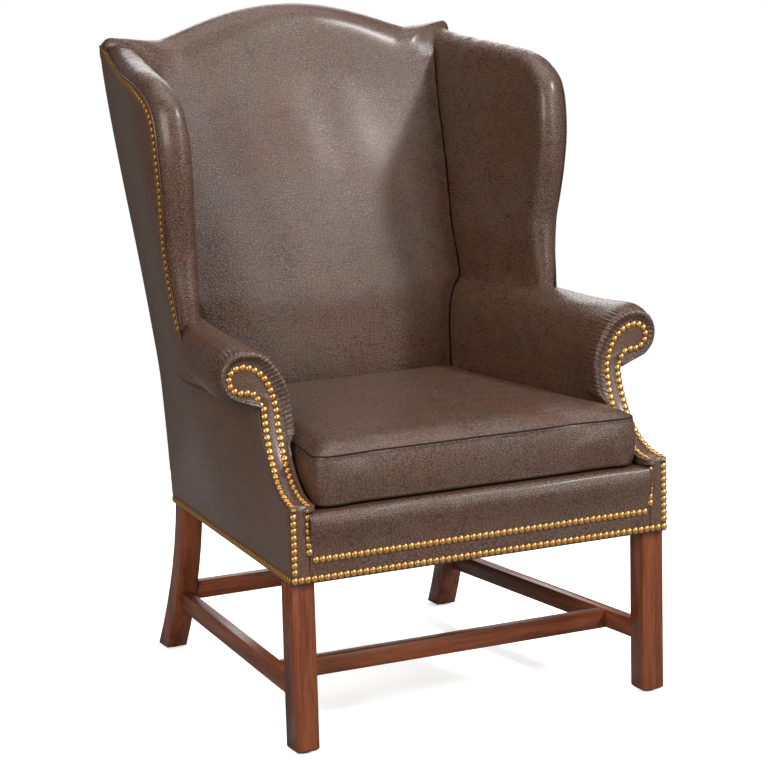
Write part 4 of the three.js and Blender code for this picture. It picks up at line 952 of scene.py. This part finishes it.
def outside_normal(y, z, hand):
    """The outside face's direction, from the differences of its width."""
    slope_y = (outer_x(y + 1, z) - outer_x(y - 1, z)) / 2
    slope_z = (outer_x(y, z + 1) - outer_x(y, z - 1)) / 2
    return unit(np.stack((np.full_like(slope_y, hand), -slope_y, -slope_z), 1))


WING_NAIL_KNOTS = ((391.5, 640), (398, 657), (403, 675), (410, 717), (412.5, 763), (404.5, 818),
                   (397, 863), (394.5, 905), (396, 943), (402, 977), (412.5, 998), (437, 1018.5),
                   (488, 1035), (550, 1042), (616, 1049), (684, 1061.5), (746, 1082), (760, 1089))


def side_nails(hand):
    """The level row along an outside panel's hem, and the row up its wing's edge to the ear."""
    y = np.linspace(4.5, DEPTH - 8, 160)
    z = np.full_like(y, HEM + HEM_ROW)
    wing = rounded_path(WING_NAIL_KNOTS)
    return [(metres(outer_x(y, z), y, z, hand), outside_normal(y, z, hand)),
            (metres(outer_x(wing[:, 0], wing[:, 1]) + 0.2, wing[:, 0], wing[:, 1], hand),
             outside_normal(wing[:, 0], wing[:, 1], hand))]


def cushion_outline(count=220):
    """The cushion's plan: a wedge with rounded corners, as equal steps of its length."""
    low, high = CUSHION_LOW[1] - FRONT, CUSHION_HIGH[1] - FRONT
    corner, turns = CUSHION_CORNER, np.radians(np.linspace(0, 90, 12))
    half = side_base(np.array([high, low])) - ARM_WALL - np.array([3.0, 0.5])
    corners = [(half[0] - corner, high - corner, 0), (-half[0] + corner, high - corner, 90),
               (-half[1] + corner, low + corner, 180), (half[1] - corner, low + corner, 270)]
    ring = np.concatenate([np.stack((x + corner * np.cos(turns + math.radians(a)),
                                     y + corner * np.sin(turns + math.radians(a))), 1)
                           for x, y, a in corners])
    ring = np.concatenate([ring, ring[:1]])
    run = run_along(ring)
    return read_at(np.linspace(0, run[-1], count, endpoint=False), run, ring)


def cushion_start(settings, inset=3.0):
    """The cushion before it swells: rings from the middle of its base, up its drawn-in sides
    and in over its crown, each ring the plan scaled about its own middle."""
    plan = cushion_outline()
    low, high = CUSHION_LOW[2] + CUSHION_LIFT, CUSHION_HIGH[2] - CUSHION_CROWN_DROP
    middle = np.array([0, (plan[:, 1].min() + plan[:, 1].max()) / 2])
    shares, crown = CUSHION_SHARES, settings.cushion_crown / MILLI
    sides = np.linspace(0, 1, 9)
    scale = np.concatenate([shares, 1 + 0.011 * np.sin(math.pi * sides) ** 0.8, shares[::-1]])
    top = high - inset + crown * (1 - shares[::-1] ** 5) ** 0.62
    z = np.concatenate([np.full(len(shares), low + 1.5), mix(low + 3, high - inset, sides), top])
    shrink = 1 - inset / 290
    rings = middle + (plan[None] - middle) * (scale * shrink)[:, None, None]
    points = metres(rings[..., 0], rings[..., 1], z[:, None])
    points = np.concatenate([points.reshape(-1, 3), points[0].mean(0, keepdims=True),
                             points[-1].mean(0, keepdims=True)])
    rows, columns = rings.shape[:2]
    j, total = np.arange(columns), rows * columns
    nxt, last = (j + 1) % columns, total - columns
    base = np.stack((nxt, j, np.full_like(j, total)), 1)
    top = np.stack((j + last, nxt + last, np.full_like(j, total + 1)), 1)
    return points, [*grid_faces(rows, columns, wrap=True).tolist(), *base.tolist(), *top.tolist()]


def apply_all(piece):
    """Puts the result of a piece's modifiers into its mesh and takes them off."""
    graph = bpy.context.evaluated_depsgraph_get()
    made = bpy.data.meshes.new_from_object(piece.evaluated_get(graph))
    old = piece.data
    piece.modifiers.clear()
    piece.data = made
    bpy.data.meshes.remove(old)


def points_of(mesh):
    """A mesh's vertices as rows of x, y and z."""
    flat = np.empty(len(mesh.vertices) * 3)
    mesh.vertices.foreach_get("co", flat)
    return flat.reshape(-1, 3)


def inflate(piece, pressure):
    """Remeshes a piece evenly, swells it as cloth under pressure and caps how far a point goes."""
    remesh = piece.modifiers.new("even", "REMESH")
    remesh.mode, remesh.voxel_size, remesh.use_smooth_shade = "VOXEL", CUSHION_VOXEL, True
    apply_all(piece)
    start = points_of(piece.data)
    cloth = piece.modifiers.new("swell", "CLOTH")
    rules = cloth.settings
    rules.quality, rules.mass = 6, 0.35
    rules.tension_stiffness = rules.compression_stiffness = 22
    rules.shear_stiffness, rules.bending_stiffness = 9, 1.2
    rules.use_pressure, rules.uniform_pressure_force = True, pressure
    rules.effector_weights.gravity = 0
    cloth.collision_settings.use_collision = False
    cloth.point_cache.frame_start, cloth.point_cache.frame_end = 1, CUSHION_FRAMES
    scene = bpy.context.scene
    for step in range(1, CUSHION_FRAMES + 1):
        scene.frame_set(step)
    graph = bpy.context.evaluated_depsgraph_get()
    swollen = points_of(piece.evaluated_get(graph).data)
    piece.modifiers.clear()
    scene.frame_set(1)
    shift = swollen - start
    ends = np.empty(len(piece.data.edges) * 2, np.int64)
    piece.data.edges.foreach_get("vertices", ends)
    one, two = ends.reshape(-1, 2).T
    here, there = np.concatenate([one, two]), np.concatenate([two, one])
    around = np.maximum(np.bincount(here, minlength=len(shift)), 1)
    even = shift
    for _ in range(30):
        even = np.stack([np.bincount(here, column[there], len(shift)) / around
                         for column in even.T], 1)
    shift = mix(even, shift, 0.25)
    far = np.linalg.norm(shift, axis=1, keepdims=True)
    start = start + shift * np.minimum(1, CUSHION_MOST / np.maximum(far, 1e-9))
    piece.data.vertices.foreach_set("co", start.ravel())
    calm = piece.modifiers.new("calm", "SMOOTH")
    calm.factor, calm.iterations = 0.5, 6
    finer = piece.modifiers.new("finer", "SUBSURF")
    finer.levels = finer.render_levels = 1
    apply_all(piece)


def softened(node, finish, radius):
    """A copy of a frame node with its points merged and its sharp edges eased."""
    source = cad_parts[node]
    piece = bpy.data.objects.new(node + "_shown", source.data.copy())
    bpy.context.scene.collection.objects.link(piece)
    weld = piece.modifiers.new("weld", "WELD")
    weld.merge_threshold = 0.00002
    ease = piece.modifiers.new("ease", "BEVEL")
    ease.width, ease.segments, ease.harden_normals = radius, 3, True
    ease.limit_method, ease.angle_limit = "ANGLE", math.radians(38)
    apply_all(piece)
    piece.data.materials.clear()
    piece.data.materials.append(finish)
    shade(piece.data)
    return piece


def bead(path, radius, sides=10):
    """A round bead along a closed path: circles square to the path's direction."""
    ahead = unit(np.roll(path, -1, axis=0) - np.roll(path, 1, axis=0))
    side = unit(np.cross(ahead, (0.02, 0.03, 1.0)))
    third = np.cross(side, ahead)
    turn = np.linspace(0, 2 * math.pi, sides, endpoint=False)[None, :, None]
    points = path[:, None] + radius * (np.cos(turn) * side[:, None] + np.sin(turn) * third[:, None])
    points, around = points.reshape(-1, 3), (len(path) - 1) * sides
    last = grid_faces(2, sides, wrap=True)
    last = np.where(last >= sides, last - sides, last + around)
    faces = np.concatenate([grid_faces(len(path), sides, wrap=True), last])
    return points, faces if signed_volume(points, faces) > 0 else faces[:, ::-1]


def cut_size(grid):
    """A sheet's cut width and length, its longest row and column, and its flat area."""
    rows = np.linalg.norm(np.diff(grid, axis=1), axis=2).sum(1).max()
    columns = np.linalg.norm(np.diff(grid, axis=0), axis=2).sum(0).max()
    corner = grid[:-1, :-1]
    a, b, c = grid[1:, :-1] - corner, grid[:-1, 1:] - corner, grid[1:, 1:] - corner
    halves = [np.linalg.norm(np.cross(*pair), axis=2) for pair in ((a, c), (c, b))]
    area = sum(halves).sum() / 2
    return (float(rows), float(columns)), float(area)


def cloth(name, grid, thickness, finish, turn, slot, rests_on, *nodes):
    """A grid as a stretched sheet of cloth or hide, hung on the chair; its cut size is worked out
    and left unused.
    """
    piece = settle(sheet_piece(name, grid, thickness, finish, turn), "chair", slot, *nodes)
    flat, area = cut_size(grid)


def level_grid(z_at, margin, front, rear, rows=60, columns=60):
    """A sheet inside the seat's plan, its height a function of its place."""
    y = np.linspace(front, rear, rows)[:, None]
    side = np.linspace(-1, 1, columns)[None, :]
    x = side * (side_base(y) - margin)
    return metres(x, y, z_at(side, (y - front) / (rear - front), x))


def burlap_height(side, run, x):
    """The burlap dips between the springs: 1.2 sin^2 of the place across, none at its sides."""
    return BURLAP_TOP - 1.2 * np.sin(math.pi * (x / SPRING_PITCH + 0.5)) ** 2 * (1 - side ** 6)


def deck_height(side, run, x):
    """The deck's leather lies almost level, a little slack in its middle."""
    return DECK - 0.7 + 0.5 * ripple(side * 3 + run * 5, 37) * (1 - side ** 4)


def cambric_height(side, run, x):
    """The dust cloth sags 4 mm between the rails that it is tacked to."""
    sag = 4 * (1 - side ** 2) * np.sin(math.pi * run)
    return HEM + 1.7 - sag - 0.3 * ripple(side * 8 + run * 6, 43)


def dress(nodes, finish):
    """Gives frame nodes a finish in place of the one that they came with."""
    for node in nodes:
        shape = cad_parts[node]
        for slot in shape.material_slots:
            slot.link = "OBJECT"
            slot.material = finish


# Settings


def size_of(label, default, note, low=0.0, high=1.0, **kind):
    return bpy.props.FloatProperty(name=label, description=note, default=default, min=low,
                                   max=high, **kind)


def length(label, default, note, low=0.0, high=1.0):
    return size_of(label, default, note, low, high, subtype="DISTANCE", unit="LENGTH", precision=4)


def share(label, default, note):
    return size_of(label, default, note, subtype="FACTOR")


def watts(label, default, place):
    note = f"Power of the {place} in watts"
    return size_of(label, default, note, 0.0, 2000.0, unit="POWER")


def colour(label, default, note):
    return bpy.props.FloatVectorProperty(name=label, description=note, default=default, size=3,
                                         min=0.0, max=1.0, subtype="COLOR")


class LeatherSettings(bpy.types.PropertyGroup):
    warm_colour: colour("Warm ground", (0.103, 0.038, 0.0205), "The hide where its finish has worn")
    cool_colour: colour("Cool ground", (0.084, 0.056, 0.037), "The hide where its finish is whole")
    # Creases: the colour between the pebbles; at half strength it is also the painted shade along
    # the cushion's seams.
    crease_and_seam_shade_colour: colour("Creases", (0.020, 0.009, 0.006), "The dark wax left in the grain")
    grain_size: length("Grain size", 0.0056, "Width of one pebble of the grain", 0.001, 0.02)
    grain_depth: length("Grain depth", 0.0009, "Depth of the creases between pebbles", 0.0, 0.005)
    relief: share("Relief", 0.6, "How strongly the grain shows")
    roughness: share("Roughness", 0.36, "How dull the leather is")
    specular: share("Specular", 0.36, "How much the leather reflects")
    coat: share("Coat", 0.30, "Thickness of the clear finish")


class UpholsterySettings(bpy.types.PropertyGroup):
    lip_radius: length("Lip radius", 0.0085, "Roll of the leather at the arm's front", 0.001, 0.02)
    lip_bulge: length("Lip bulge", 0.011, "Swell of the arm's front edge", 0.0, 0.02)
    roll_bulge: length("Roll bulge", 0.009, "Swell of the arm's outer roll", 0.0, 0.014)
    gather_depth: length("Gather depth", 0.0012, "Depth of the puckers by the nails", 0.0, 0.004)
    wing_puff: length("Wing swell", 0.002, "Extra padding on the wings", 0.0, 0.01)
    back_puff: length("Back swell", 0.002, "Extra padding on the inside back", 0.0, 0.01)
    border_puff: length("Border swell", 0.002, "Extra padding of the border's lip", 0.0, 0.006)
    cushion_crown: length("Cushion crown", 0.019, "Rise of the cushion over its seam", 0.0, 0.05)
    cushion_pressure: size_of("Cushion fill", 4.0, "Pressure that swells the cushion", 0.0, 12.0)


class NailSettings(bpy.types.PropertyGroup):
    nail_pitch: length("Pitch", 0.0113, "Distance from head to head", 0.006, 0.05)
    nail_radius: length("Radius", 0.0061, "Radius of one head", 0.002, 0.01)
    nail_rise: length("Rise", 0.0034, "Height of one head", 0.0005, 0.008)
    brass_colour: colour("Crown", (0.54, 0.305, 0.105), "Brass where hands have polished it")
    brass_dark: colour("Rim", (0.20, 0.105, 0.034), "Brass where it has darkened")


class WoodSettings(bpy.types.PropertyGroup):
    wood_dark: colour("Dark grain", (0.080, 0.0190, 0.0075), "The stain's darkest grain")
    wood_light: colour("Light grain", (0.225, 0.066, 0.0260), "The stain's lightest grain")
    wood_roughness: share("Roughness", 0.33, "How dull the polish is")
    edge_radius: length("Eased edges", 0.0014, "Radius of the eased edges", 0.0002, 0.004)


class StageSettings(bpy.types.PropertyGroup):
    floor_size: length("Floor", 3.4, "Side of the studio floor", 2.0, 60.0)
    floor_colour: colour("Floor colour", (0.9, 0.9, 0.9), "The studio floor's colour")
    floor_glow: share("Floor glow", 0.6, "Light from under the studio floor")
    key_power: watts("Key light", 270.0, "high softbox")
    broad_power: watts("Broad light", 74.0, "front softbox")
    fill_power: watts("Fill light", 200.0, "side softbox")
    rear_power: watts("Rear light", 60.0, "softbox behind")
    top_power: watts("Top light", 60.0, "overhead softbox")
    world_strength: size_of("Surround", 0.16, "Brightness of the white surround")


# The studio: each softbox's width, height, place, the height that it is aimed at and its tint
WHITE, WARM = (1.0, 0.98, 0.97), (1.0, 0.93, 0.85)
LAMPS = (("key", 0.55, 0.55, (3.35, -2.9, 3.85), 0.9, WHITE),
         ("broad", 1.6, 2.7, (1.8, -3.7, 1.95), 0.75, WHITE),
         ("fill", 2.0, 2.0, (-3.2, -2.9, 2.3), 0.6, WARM),
         ("rear", 2.4, 2.4, (1.5, 3.7, 2.2), 0.6, WHITE),
         ("top", 2.6, 2.6, (0.3, 0.2, 3.6), 0.4, WHITE))
FLOOR_DROP = 0.0004

# The camera: its place in metres from the front legs' face, its turn and its lens
EYE, YAW, PITCH, ROLL, LENS = (-1.9975, -3.7417, 1.3786), -26.0, 10.76, -1.51, 125.77

PALE_BEECH = ((0.40, 0.24, 0.12), (0.62, 0.43, 0.25))


# Operators


class ARMCHAIR_OT_inside(bpy.types.Operator):
    """Dresses the arms, wings, inside back and front border in padded leather"""
    bl_idname = "armchair.inside"
    bl_label = "Inside Upholstery"

    def execute(self, context):
        settings = context.scene.armchair_upholstery
        hide = leather_finish("inside_leather", context.scene.armchair_leather)
        arm, wing = arm_grid(settings), wing_grid(settings)
        for side, hand in SIDES:
            padded_hide(f"inside_arm_{side}", mirrored(arm, hand), hide, hand, FIRM_FILL,
                        f"inside_arm_cover_{side}", f"arm_pad_{side}")
            padded_hide(f"inside_wing_{side}", mirrored(wing, hand), hide, hand, WING_FILL,
                        f"inside_wing_{side}_cover", f"inside_wing_{side}_pad")
        padded_hide("inside_back", back_grid(settings), hide, -1, FIRM_FILL,
                    "inside_back_cover", "back_pad")
        padded_hide("front_border", border_grid(settings), hide, 1, FIRM_FILL,
                    "front_border_cover", "front_border_pad")
        return {"FINISHED"}


class ARMCHAIR_OT_outside(bpy.types.Operator):
    """Stretches the outside panels, the outside back and the arm facings over the frame"""
    bl_idname = "armchair.outside"
    bl_label = "Outside Leather"

    def execute(self, context):
        hide = leather_finish("outside_leather", context.scene.armchair_leather, 0.6)
        panel, facing, slot = panel_grid(), facing_grid(), "outside_leather"
        for side, hand in SIDES:
            rails = [f"side_rail_{side}", f"wing_post_{side}"]
            cloth(f"outside_side_{side}", mirrored(panel, hand), LEATHER, hide, -hand, slot, rails,
                  f"outside_panel_{side}")
            cloth(f"facing_{side}", mirrored(facing, hand), LEATHER, hide, -hand, slot,
                  [f"arm_post_{side}"], f"arm_facing_{side}")
        cloth("outside_back_hide", outside_back_grid(), LEATHER, hide, 1, slot,
              ["rear_leg_left", "rear_leg_right"], "outside_back")
        return {"FINISHED"}


def outline_on(piece, level):
    """The line on a piece's sides at one height, found by rays sent in from around it."""
    tree = BVHTree.FromObject(piece, bpy.context.evaluated_depsgraph_get())
    plan = cushion_outline(480) + np.array([0, FRONT])
    middle = plan.mean(0)
    outward = unit(plan - middle)
    found = []
    for spot, way in zip(plan * MILLI + outward * 0.05, outward):
        hit = tree.ray_cast(Vector((*spot, level)), Vector((*-way, 0)))[0]
        if hit is not None:
            found.append(hit)
    return np.stack([windowed(column, 7, "wrap") for column in np.array(found).T], 1)


class ARMCHAIR_OT_cushion(bpy.types.Operator):
    """Fills the loose seat cushion, lifts a ridge at its two seams and lays a near-black bead of
    painted shade along each
    """
    bl_idname = "armchair.cushion"
    bl_label = "Seat Cushion"

    def execute(self, context):
        settings = context.scene.armchair_upholstery
        hide = leather_finish("cushion_leather", context.scene.armchair_leather)
        points, faces = cushion_start(settings)
        cushion = mesh_piece("seat_cushion", points, faces, hide)
        inflate(cushion, settings.cushion_pressure)
        places = points_of(cushion.data)
        base = (CUSHION_LOW[2] + CUSHION_LIFT) * MILLI
        low = places[:, 2] < base + 0.03
        places[:, 2] = np.where(low, np.maximum(places[:, 2], base), places[:, 2])
        depth = places[:, 1] / MILLI - FRONT
        wall = (side_base(depth) - ARM_WALL - 0.6) * MILLI
        places[:, 0] = np.clip(places[:, 0], -wall, wall)
        seams = (CUSHION_HIGH[2] - CUSHION_CROWN_DROP, CUSHION_LOW[2] + 5)
        level = places[:, 2] / MILLI
        ridge = sum(hill(level, z, SEAM_WIDTH) for z in seams)
        middle = np.array([0, (CUSHION_LOW[1] + CUSHION_HIGH[1]) / 2 * MILLI])
        plan = places[:, :2] - middle
        side = np.abs(plan) / np.abs(plan).max(0)
        shell = ramp(side.max(1), 0.9, 0.07)
        axis = (side[:, 0] < side[:, 1]).astype(float)
        way = np.stack((1 - axis, axis), 1) * np.sign(plan)
        places[:, :2] += SEAM_RIDGE * (ridge * shell)[:, None] * way
        cushion.data.vertices.foreach_set("co", places.ravel())
        shade(cushion.data)
        cushion.data.update()
        settle(cushion, "seat_cushion", "leather", "seat_cushion_cover", "seat_cushion_core",
               padded=FIRM_FILL)
        # The seam beads are near black: painted shade for the grooves of the seams.
        thread = seam_shade_finish(context.scene.armchair_leather)
        bpy.context.view_layer.update()
        for label, z in zip(("top", "bottom"), seams):
            path = outline_on(cushion, z * MILLI)
            seam = mesh_piece(f"cushion_seam_{label}", *bead(path, SEAM_RADIUS), thread)
            settle(seam, "seat_cushion", "leather")
        return {"FINISHED"}


class ARMCHAIR_OT_nails(bpy.types.Operator):
    """Drives the close rows of domed brass nails"""
    bl_idname = "armchair.nails"
    bl_label = "Brass Nails"

    def execute(self, context):
        settings = context.scene.armchair_nails
        brass = brass_finish(settings)
        rows = {"nails_border": [front_nails(HEM + above, half) for above, half in FRONT_ROWS]}
        for side, hand in SIDES:
            rows[f"nails_facing_{side}"] = [facing_nails(hand)]
            rows[f"nails_outside_{side}"] = side_nails(hand)
        for name, paths in rows.items():
            settle(nail_piece(name, paths, brass, settings), "chair", "steel")
        return {"FINISHED"}


class ARMCHAIR_OT_wood(bpy.types.Operator):
    """Stains and polishes the legs and stretchers, their edges eased"""
    bl_idname = "armchair.wood"
    bl_label = "Legs and Stretchers"

    def execute(self, context):
        settings = context.scene.armchair_wood
        grain = {axis: wood_finish(f"dark_stain_{axis.lower()}", settings, axis) for axis in "XYZ"}
        shown = {f"{end}_leg_{side}": "Z" for end in ("front", "rear") for side, _ in SIDES}
        shown.update({"side_stretcher_left": "Y", "side_stretcher_right": "Y",
                      "cross_stretcher": "X", "rear_stretcher": "X"})
        for node, axis in shown.items():
            settle(softened(node, grain[axis], settings.edge_radius), "chair", "show_wood", node)
        return {"FINISHED"}


class ARMCHAIR_OT_inner(bpy.types.Operator):
    """Finishes the hidden frame, springs and webbing and lays the deck, burlap and dust cover"""
    bl_idname = "armchair.inner"
    bl_label = "Hidden Frame"

    def execute(self, context):
        settings = context.scene.armchair_wood
        beech = {axis: wood_finish(f"beech_{axis.lower()}", settings, axis, PALE_BEECH)
                 for axis in "XYZ"}
        sided = [side for side, _ in SIDES]
        dress(["front_rail", "rear_rail", "crest_rail", "lower_back_rail"], beech["X"])
        for axis, names in (("Y", ("side_rail", "arm_board", "wing_rail", "front_corner_block",
                                   "rear_corner_block")), ("Z", ("arm_post", "wing_post"))):
            dress([f"{name}_{side}" for side in sided for name in names], beech[axis])
        springs = [f"seat_spring_{k}" for k in range(1, 6)]
        glides = [f"{end}_glide_{side}" for end in ("front", "rear") for side in sided]
        dress(glides + springs, steel_finish())
        jute = woven_finish("jute", (0.20, 0.13, 0.06), (0.46, 0.34, 0.19),
                            0.0022, 0.0006, 0.85)
        dress(["back_webbing"], jute)
        cambric = woven_finish("black_cambric", (0.008, 0.008, 0.009), (0.03, 0.03, 0.032),
                               0.0008, 0.0002, 0.8)
        lining = leather_finish("deck_leather", context.scene.armchair_leather, 0.8)
        inside = ARM_WALL + SEAT_EASE
        cloth("burlap", level_grid(burlap_height, inside, *BURLAP_ENDS), JUTE_THICK, jute, -1,
              "jute", springs, "spring_burlap")
        cloth("deck", level_grid(deck_height, inside, *DECK_ENDS), LEATHER, lining, -1,
              "leather", ["burlap"], "deck_cover", "deck_pad")
        cloth("under_cambric", level_grid(cambric_height, CAMBRIC_EASE, *CAMBRIC_ENDS),
              CAMBRIC_THICK, cambric, -1, "cambric",
              ["side_rail_left", "side_rail_right", "front_rail", "rear_rail"], "dust_cover")
        return {"FINISHED"}


def shown_apart(tree, lighting, shown, output):
    """One shader for what the surface lends the studio's light, another for what is looked at."""
    either = tree.nodes.new("ShaderNodeMixShader")
    looked_at = tree.nodes.new("ShaderNodeLightPath").outputs["Is Camera Ray"]
    tree.links.new(looked_at, either.inputs[0])
    tree.links.new(lighting.outputs[0], either.inputs[1])
    tree.links.new(shown.outputs[0], either.inputs[2])
    tree.links.new(either.outputs[0], tree.nodes[output].inputs["Surface"])


class ARMCHAIR_OT_stage(bpy.types.Operator):
    """Sets the pale floor, the softboxes and the camera"""
    bl_idname = "armchair.stage"
    bl_label = "Studio"

    def execute(self, context):
        scene, settings = context.scene, context.scene.armchair_stage
        floor_finish = Finish("studio_floor")
        grain = floor_finish.noise(floor_finish.place(), 3, 3, 0.5)
        floor_finish.wear(Base_Color=settings.floor_colour, Roughness=0.72 + grain * 0.06,
                          Emission_Color=(1, 1, 1, 1), Emission_Strength=settings.floor_glow)
        dim = floor_finish.tree.nodes.new("ShaderNodeBsdfDiffuse")
        dim.inputs["Color"].default_value = (0.3, 0.3, 0.3, 1)
        shown_apart(floor_finish.tree, dim, floor_finish.shader, "Material Output")
        half = settings.floor_size / 2
        corners = np.array([(-half, -half, 0), (half, -half, 0), (half, half, 0), (-half, half, 0)])
        floor = mesh_piece("studio_floor", corners - np.array([0, 0, FLOOR_DROP]), [(0, 1, 2, 3)],
                           floor_finish.material, False)
        for name, wide, tall, place, height, tint in LAMPS:
            lamp = bpy.data.lights.new(name, "AREA")
            lamp.energy, lamp.color = getattr(settings, name + "_power"), tint
            lamp.shape, lamp.size, lamp.size_y = "RECTANGLE", wide, tall
            box = bpy.data.objects.new(name + "_light", lamp)
            box.location = place
            aim = Vector((0, 0, height)) - Vector(place)
            box.rotation_euler = aim.to_track_quat("-Z", "Y").to_euler()
            scene.collection.objects.link(box)
        world = bpy.data.worlds.new("surround")
        world.use_nodes = True
        tree = world.node_tree
        ground = tree.nodes["Background"]
        ground.inputs["Color"].default_value = (1.0, 0.93, 0.86, 1)
        ground.inputs["Strength"].default_value = settings.world_strength
        backdrop = tree.nodes.new("ShaderNodeBackground")
        backdrop.inputs["Color"].default_value = (1, 1, 1, 1)
        shown_apart(tree, ground, backdrop, "World Output")
        scene.world = world
        scene.view_settings.view_transform = "Standard"
        yaw, pitch, roll = (math.radians(v) for v in (YAW, PITCH, ROLL))
        level = Vector((-math.sin(yaw), math.cos(yaw), 0)) * math.cos(pitch)
        ahead = level - Vector((0, 0, math.sin(pitch)))
        right = Vector((math.cos(yaw), math.sin(yaw), 0))
        up = right.cross(ahead)
        across = right * math.cos(roll) + up * math.sin(roll)
        above = up * math.cos(roll) - right * math.sin(roll)
        lens = bpy.data.cameras.new("view")
        lens.lens, lens.sensor_width, lens.sensor_fit = LENS, 36.0, "HORIZONTAL"
        lens.clip_end = 100
        eye = bpy.data.objects.new("view", lens)
        turn = Matrix([(across[k], above[k], -ahead[k]) for k in range(3)]).to_4x4()
        eye.matrix_world = Matrix.Translation((EYE[0], EYE[1] + FRONT * MILLI, EYE[2])) @ turn
        scene.collection.objects.link(eye)
        scene.camera = eye
        return {"FINISHED"}


class ARMCHAIR_PT_panel(bpy.types.Panel):
    """The armchair's steps and their sizes"""
    bl_idname = "ARMCHAIR_PT_panel"
    bl_label = "Wingback Armchair"
    bl_space_type = "VIEW_3D"
    bl_region_type = "UI"
    bl_category = "Armchair"

    def draw(self, context):
        for step, group in STEPS:
            box = self.layout.box()
            box.operator(step.bl_idname)
            settings = getattr(context.scene, group)
            for key in settings.__annotations__:
                box.prop(settings, key)


GROUPS = {"armchair_leather": LeatherSettings, "armchair_upholstery": UpholsterySettings,
          "armchair_nails": NailSettings, "armchair_wood": WoodSettings,
          "armchair_stage": StageSettings}
STEPS = ((ARMCHAIR_OT_stage, "armchair_stage"), (ARMCHAIR_OT_wood, "armchair_wood"),
         (ARMCHAIR_OT_inner, "armchair_leather"), (ARMCHAIR_OT_outside, "armchair_leather"),
         (ARMCHAIR_OT_inside, "armchair_upholstery"), (ARMCHAIR_OT_cushion, "armchair_upholstery"),
         (ARMCHAIR_OT_nails, "armchair_nails"))
CLASSES = (*GROUPS.values(), *(step for step, _ in STEPS), ARMCHAIR_PT_panel)


def register():
    for item in CLASSES:
        bpy.utils.register_class(item)
    for key, group in GROUPS.items():
        setattr(bpy.types.Scene, key, bpy.props.PointerProperty(type=group))


def unregister():
    for key in GROUPS:
        delattr(bpy.types.Scene, key)
    for item in reversed(CLASSES):
        bpy.utils.unregister_class(item)


def main():
    register()
    for step, _ in STEPS:
        group, call = step.bl_idname.split(".")
        getattr(getattr(bpy.ops, group), call)()


if __name__ == "__main__":
    main()
